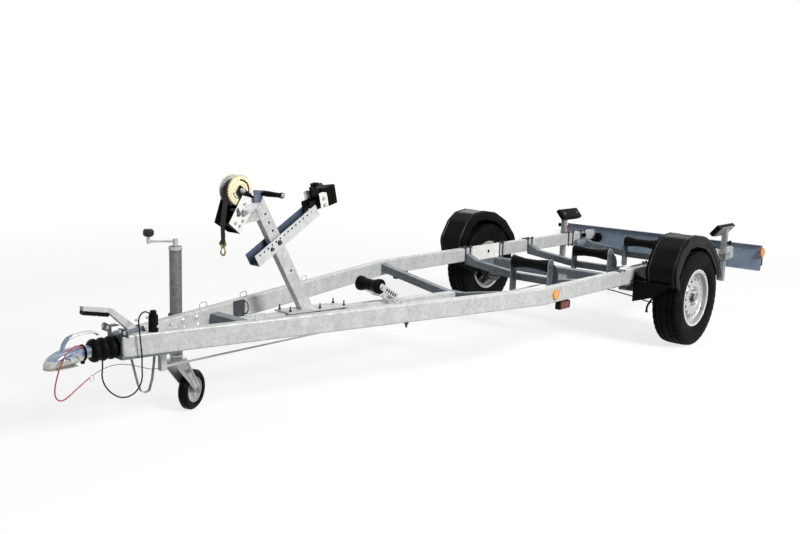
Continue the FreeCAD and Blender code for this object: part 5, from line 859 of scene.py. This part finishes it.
def make_bow_trim():
    """Bolts of the post and its arm, dark as painted shade; dark discs of painted shade in the post's holes; a dark
    blue sheet of painted shade inside the arm's channel; knob, plates and cushion of the bow stop.
    """
    # dark steel here is painted shade: it stands for the shadows round the bolts on the arm
    piece("bow_bolts", "dark_steel", [[
        bolt((1584, side * 37.1, 870), Y * side, 12),
        bolt((1632.4, side * 37.1, 840), Y * side)] for side in SIGNS])
    # dark discs in the post's holes: painted shade inside them
    piece("post_hole_shade", "black_paint", [
        lathe([(-1, 6.2), (0.3, 6.2), (0.5, 5.5)], (x, side * 20, z), Y * side, 20)
        for x, z in ((1664, 1017), (1639, 973.7), (1614, 930.4), (1489, 713.9)) for side in SIGNS])
    along, rise = V((-0.867, 0, 0.498)), V((0.498, 0, 0.867))
    centre = V((1584.1, -32.5, 869.7)) + V((-0.87, 0, 0.5)) * 67.5
    # a dark blue sheet on the far wall's inner face, with lines along its lips: painted shade inside the arm's
    # channel
    piece("arm_shade_sheet", "blue_steel", [box(centre, (455, 0.8, 54), (along, Y, rise))] + [
        tube([centre + Y * 1.2 + rise * lip + along * reach for reach in (-227, 227)], 1.4, 8)
        for lip in (-26.5, 26.5)])
    up, back = V((0.2419, 0, 0.9703)), V((-0.9703, 0, 0.2419))
    top = V((1310.7, 0, 1130.3))
    piece("bow_knob", "black_plastic", [
        lathe([(0, 7), (10, 7), (11, 17.5), (20, 18.5), (27, 15), (30, 6)], top, up)] + [
        lathe([(0, 6), (1, 7.5), (13, 7.5), (15, 5)], spot, up, 12)
        for spot in circle(top + up * 11, 17, 5, *frame_of(up)[1:])])
    origin = V((1324.3, 0, 1019.7))
    plate = [(8, 4), (62, 4), (62, 78), (34, 88), (8, 88)]
    piece("bow_plates", "cover_zinc", [
        prism([origin + back * along + up * high + Y * (side * 56) for along, high in plate], Y * (side * 3.5))
        for side in SIGNS], bevel=1)
    cushion = [(42, -56), (134, -56), (134, -40), (104, 0), (134, 40), (134, 56), (42, 56)]
    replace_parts(piece("bow_cushion", "black_rubber", prism(
        rounded([origin + back * along + Y * across for along, across in cushion], 12, 4, closed=True), up * 104),
        bevel=7), "bow_block")
    piece("bow_plate_bolts", "zinc", [
        bolt(origin + back * 34 + up * high + Y * (side * 59.5), Y * side) for side in SIGNS
        for high in (20, 56)])


# Keel, rails and cross members

def make_keel_trim():
    """U-bolts that hold the winch post's foot and the roller arm on the keel."""
    piece("keel_u_bolts", "dark_steel", [
        u_bolt([V((x, y, top + rise)) for y, rise in ((42, 28), (42, -74), (-42, -74), (-42, 28))],
               8, 26, 12) for x, top in ((1510, 502.6), (1300, 492.2), (1120, 483.2))])


def make_arm_trim():
    """Dark ovals of painted shade in the slots of the strips that carry the front roller."""
    along = (ARM_HEAD - ARM_FOOT).normalized()
    length = (ARM_HEAD - ARM_FOOT).length
    # dark ovals in the strips' slots: painted shade inside them
    piece("arm_slot_shade", "black_paint", [
        prism(circle(ARM_FOOT + along * (length * share) + Y * (side * level), 1.0, 16, along * 6.2,
                     along.cross(Y) * 10), Y * (side * way * 0.5))
        for side in SIGNS for level, way in ((93.4, 1), (87.6, -1)) for share in (0.56, 0.63, 0.7, 0.77, 0.84)])


def make_rail_trim():
    """Lashing loops, dome bolts, clamp bars, axle plates and the stub under the near rail."""
    loops = []
    for x, side in ((1840, 1), (1070, 1), (1890, -1), (1570, -1), (1000, -1), (-2200, -1), (-2200, 1)):
        foot, half, rise = on_rail(x, side), rail_way(x, side)[0] * 27, Z * 30
        loops.append(tube(rounded([foot - half, foot - half + rise, foot + half + rise, foot + half], 12), 2.2, 8))
        loops += [lathe([(0, 5), (2, 4.5), (3, 2.8)], end, Z, 12) for end in (foot - half, foot + half)]
    piece("lashing_loops", "zinc", loops)
    piece("dome_bolts", "zinc", [
        lathe([(0, 13.5), (2, 13.5), (6.5, 10), (9, 5), (9.6, 1.5)],
              on_rail(x, side, z, -25), -rail_way(x, side)[1], 20)
        for x, z in ((2059.7, 516.5), (1962.3, 512.5), (1952.3, 472.2), (2050, 476.2)) for side in SIGNS])
    clamps = [(x, side) for x in (-840, -897, -1280, -1325, -1684, -1742, -2323, -2396, -2530, -2588)
              for side in SIGNS]
    piece("clamp_bars", "dark_steel", [[
        tube([on_rail(x, side, z, -30.5) for z in (425, 560)], 5.2, 10),
        box(on_rail(x, side, 543), (16, 72, 6))] for x, side in clamps])
    piece("clamp_nuts", "dark_steel", [
        hexagon(on_rail(x, side, 546, -30.5), Z, 17, 10) for x, side in clamps])
    plate = ((-925, 436), (-1275, 436), (-1275, 549), (-925, 549))
    piece("axle_plates", "cover_zinc", [
        prism([(x, side * 616.8, z) for x, z in plate], Y * (-side * 3.8)) for side in SIGNS], bevel=0.8)
    # a black disc in the plate's hole: painted shade inside it
    piece("axle_plate_hole_shade", "black_paint", [
        lathe([(0, 13), (SHADE_SPOT, 13), (0.8, 11)], (-1132.8, side * 613, 493.9), Y * -side)
        for side in SIGNS])
    piece("rail_stub", "dark_steel", lathe([(0, 12), (14, 12), (16, 6), (30, 6), (32, 4)],
                                           on_rail(1013, 1, 440.2), -Z, 16))


def make_cross_trim():
    """Gussets of the cross members, pale lines of painted highlight along the edges of the roller cheeks at the cross
    members, the front cross's face and a dark panel with a grip.
    """
    gusset = ((616.5, 428), (616.5, 500), (560, 478), (500, 448), (520, 425))
    piece("cross_gussets", "dull_zinc", [
        prism([(x - 25.5, side * y, z) for y, z in gusset], X * 51) for x in CROSS_X for side in SIGNS], bevel=1)
    arch = [(97.5, 302)] + [(62 + cos(angle) * 35.5, 522 + sin(angle) * 35.5)
                                for angle in (pi * step / 12 for step in range(13))] + [(26.5, 500)]
    # pale zinc lines along the cheeks' edges and arches: painted highlight where the edges catch the light
    piece("cheek_edge_highlights", "zinc", [
        tube([(x + along, side * 155.3, z) for along, z in arch], 1.7, 8) for x in CROSS_X for side in SIGNS])
    face = ((-180, 449.2), (180, 449.2), (180, 509.2), (-180, 509.2))
    piece("front_cross_face", "dull_zinc", [
        prism([(1861.5, y, z) for y, z in face], X * 1.2), box((1830.5, 0, 509.7), (60, 356, 1.2))],
        bevel=0.4)
    low, high = on_rail(1590, -1, 442, -25.5), on_rail(1680, -1, 448, -25.5)
    grip = ((1588, 458, -26.2), (1584, 462, -40), (1578, 480, -46), (1578, 506, -46),
            (1584, 524, -40), (1588, 528, -26.2))
    piece("rail_panel", "dark_steel", [
        prism([low, high, high + Z * 94, low + Z * 97], rail_way(1620, -1)[1] * -3),
        tube(rounded([on_rail(x, -1, z, across) for x, z, across in grip], 10, 3), 3.6, 8)], bevel=0.6)


# Rear end

def slab(side, y0, y1, z0, z1, x0, x1, radius):
    """A soft-cornered slab that faces the rear."""
    corners = [(x0, side * y, z) for y, z in ((y0, z0), (y1, z0), (y1, z1), (y0, z1))]
    return prism(rounded(corners, radius, 4, closed=True), X * (x1 - x0))


def make_rear_trim():
    """Post clamps and knobs, tubes of the light board with pale strips of painted highlight along its top and bottom
    edges, and the lamps with their lenses.
    """
    posts, heights, shifts = ((-2505.5, 1), (-2370.5, -1)), (470, 512), (-30, 30)
    piece("post_clamps", "mid_zinc", [
        [[tube([(x + shift, side * y, z) for y in (614.5, 727)], 4.5, 10) for z in heights for shift in shifts],
         box((x, side * 726.5, 491), (84, 5, 62)),
         [hexagon((x + shift, side * 729, z), Y * side, 14, 8) for shift in shifts for z in heights]]
        for x, side in posts])
    piece("post_knobs", "black_plastic", [
        lathe([(-14, 5), (0, 5), (2, 16), (14, 18), (18, 12)],
              (x, side * 729, 600), Y * side, 20) for x, side in posts])
    piece("board_tubes", "dull_zinc", [
        lathe([(0, 26), (4, 30), (180, 30), (186, 27), (196, 14), (200, 14)],
              (-2610, side * 585, 450), X, 28) for side in SIGNS])
    piece("board_mounts", "black_plastic", [[
        lathe([(0, 42.5), (6, 42.5), (10, 36), (11, 6)], (-2751.9, side * 561.6, 476.5), X, 32),
        box((-2690, side * 585, 450), (130, 30, 34)),
        box((-2560, side * 602, 498), (50, 26, 50))] for side in SIGNS], bevel=2.5)
    # pale strips along the board's top and bottom edges: painted highlight
    piece("board_edge_highlights", "zinc", [box((-2766.2, 0, z), (27, 1794, 1)) for z in (573.1, 367.1)])
    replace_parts(piece("tail_lamp_cases", "black_plastic", [
        slab(side, 658, 898, 400, 530, -2780.5, -2815, 14) for side in SIGNS], bevel=2), "tail_lamps")
    for name, spans in (("red", ((664, 728), (792, 842))), ("clear", ((732, 788),)),
                        ("amber", ((846, 892),))):
        piece("tail_lamp_" + name, name + "_lens", [
            slab(side, y0, y1, 408, 522, -2814, -2825.3, 7) for side in SIGNS for y0, y1 in spans],
            bevel=2.5)


def make_pad_trim():
    """Dark discs of painted shade for the recessed bolts, and pale plates of the tilted side pads."""
    bolts, plates = [], []
    for x, side in ((-2485.5, 1), (-2416.5, -1)):
        normal, down = V((0, -side * 0.76604, 0.64279)), V((0, -side * 0.64279, -0.76604))
        face = V((x, side * 661.59, 711.35))
        bolts += [lathe([(0, 15), (0.8, 15), (1, 11)], face + X * shift + normal * 0.2, normal)
                  for shift in (-100, 100)]
        plates.append(box(face - normal * 37.5, (150, 90, 4), (X, down, normal)))
    # dark discs on the pads: painted shade in the recesses round their bolts
    piece("pad_recess_shade", "cast_grey", bolts)
    piece("pad_plates", "zinc", plates, bevel=0.8)


def make_marker_trim():
    """Rims and domes of the round reflectors, and cases of the hanging side markers."""
    piece("marker_rims", "amber_lens", [[
        hoop((-43.5, side * 673.5, 490), 30, 1.6, 48),
        hoop((-2785, side * 905.5, 513), 38, 1.8, 48),
        lathe([(0, 25.8), (1.2, 25), (3, 17), (3.8, 6), (4, 1.5)],
              (-43.5, side * 673.8, 490), Y * side, 36)] for side in SIGNS])
    piece("marker_cases", "black_plastic", [[
        box((-99, side * 657, 412), (17, 35.2, 45.2)),
        box((-200, side * 657, 412), (17, 35.2, 45.2)),
        box((-149.5, side * 656, 434.5), (116, 34, 6))] for side in SIGNS], bevel=4)


# Stage and light

def make_floor():
    """A floor that shows white, keeps a soft shadow near the trailer and fades to plain white."""
    bpy.ops.mesh.primitive_plane_add(size=160.0, location=(0, 0, 0))
    floor = bpy.context.object
    floor.name = "floor"
    g = Look("floor_paper")
    away = g.add("VectorMath", g.place, operation="LENGTH").outputs["Value"]
    away = g.add("MapRange", away, From_Min=3.6, From_Max=8.0).outputs["Result"]
    grain = g.ramp(g.noise(2.0), 0.0, 0.25, 1.0, 0.27)
    glow = g.math("ADD", g.total((away, 0.26)), 0.76)
    floor.data.materials.append(g.end(
        Base_Color=g.blend(away, grain, (0.0, 0.0, 0.0)), Roughness=0.9, Specular_IOR_Level=0.0,
        Emission_Color=(1, 1, 1, 1), Emission_Strength=g.math("MULTIPLY", g.seen_directly(), glow)))


def make_world():
    """White where it is seen, and a plain grey level of light from all round."""
    SCENE.world = bpy.data.worlds.new("studio")
    g = Graph(SCENE.world)
    strength = g.add("MapRange", g.seen_directly(), To_Min=0.24, To_Max=1.0).outputs["Result"]
    background = g.tree.nodes["Background"]
    g.join((1, 1, 1, 1), background, "Color")
    g.join(strength, background, "Strength")


def make_lamps():
    for name, place, size, power in (("key", (0.4, 9.6, 6.6), 4.0, 1400.0), ("top", (0.5, -1.0, 7.5), 6.0, 80.0),
                                     ("rear", (-6.5, -4.5, 3.5), 5.0, 90.0)):
        data = bpy.data.lights.new(name, "AREA")
        data.shape = "DISK"
        data.size = size
        data.energy = power
        lamp = add_object(name, data)
        lamp.location = place
        lamp.rotation_euler = (V((0.2, 0, 0.4)) - V(place)).to_track_quat("-Z", "Y").to_euler()


make_camera()
dress_nodes()
make_cords()
make_tyres()
make_wheel_trim()
make_guard_trim()
make_coupling()
make_bellows()
make_front_trim()
make_jockey_trim()
make_strap()
make_winch_trim()
make_crank_trim()
make_hook()
make_bow_trim()
make_keel_trim()
make_arm_trim()
make_rail_trim()
make_cross_trim()
make_rear_trim()
make_pad_trim()
make_marker_trim()
make_floor()
make_world()
make_lamps()
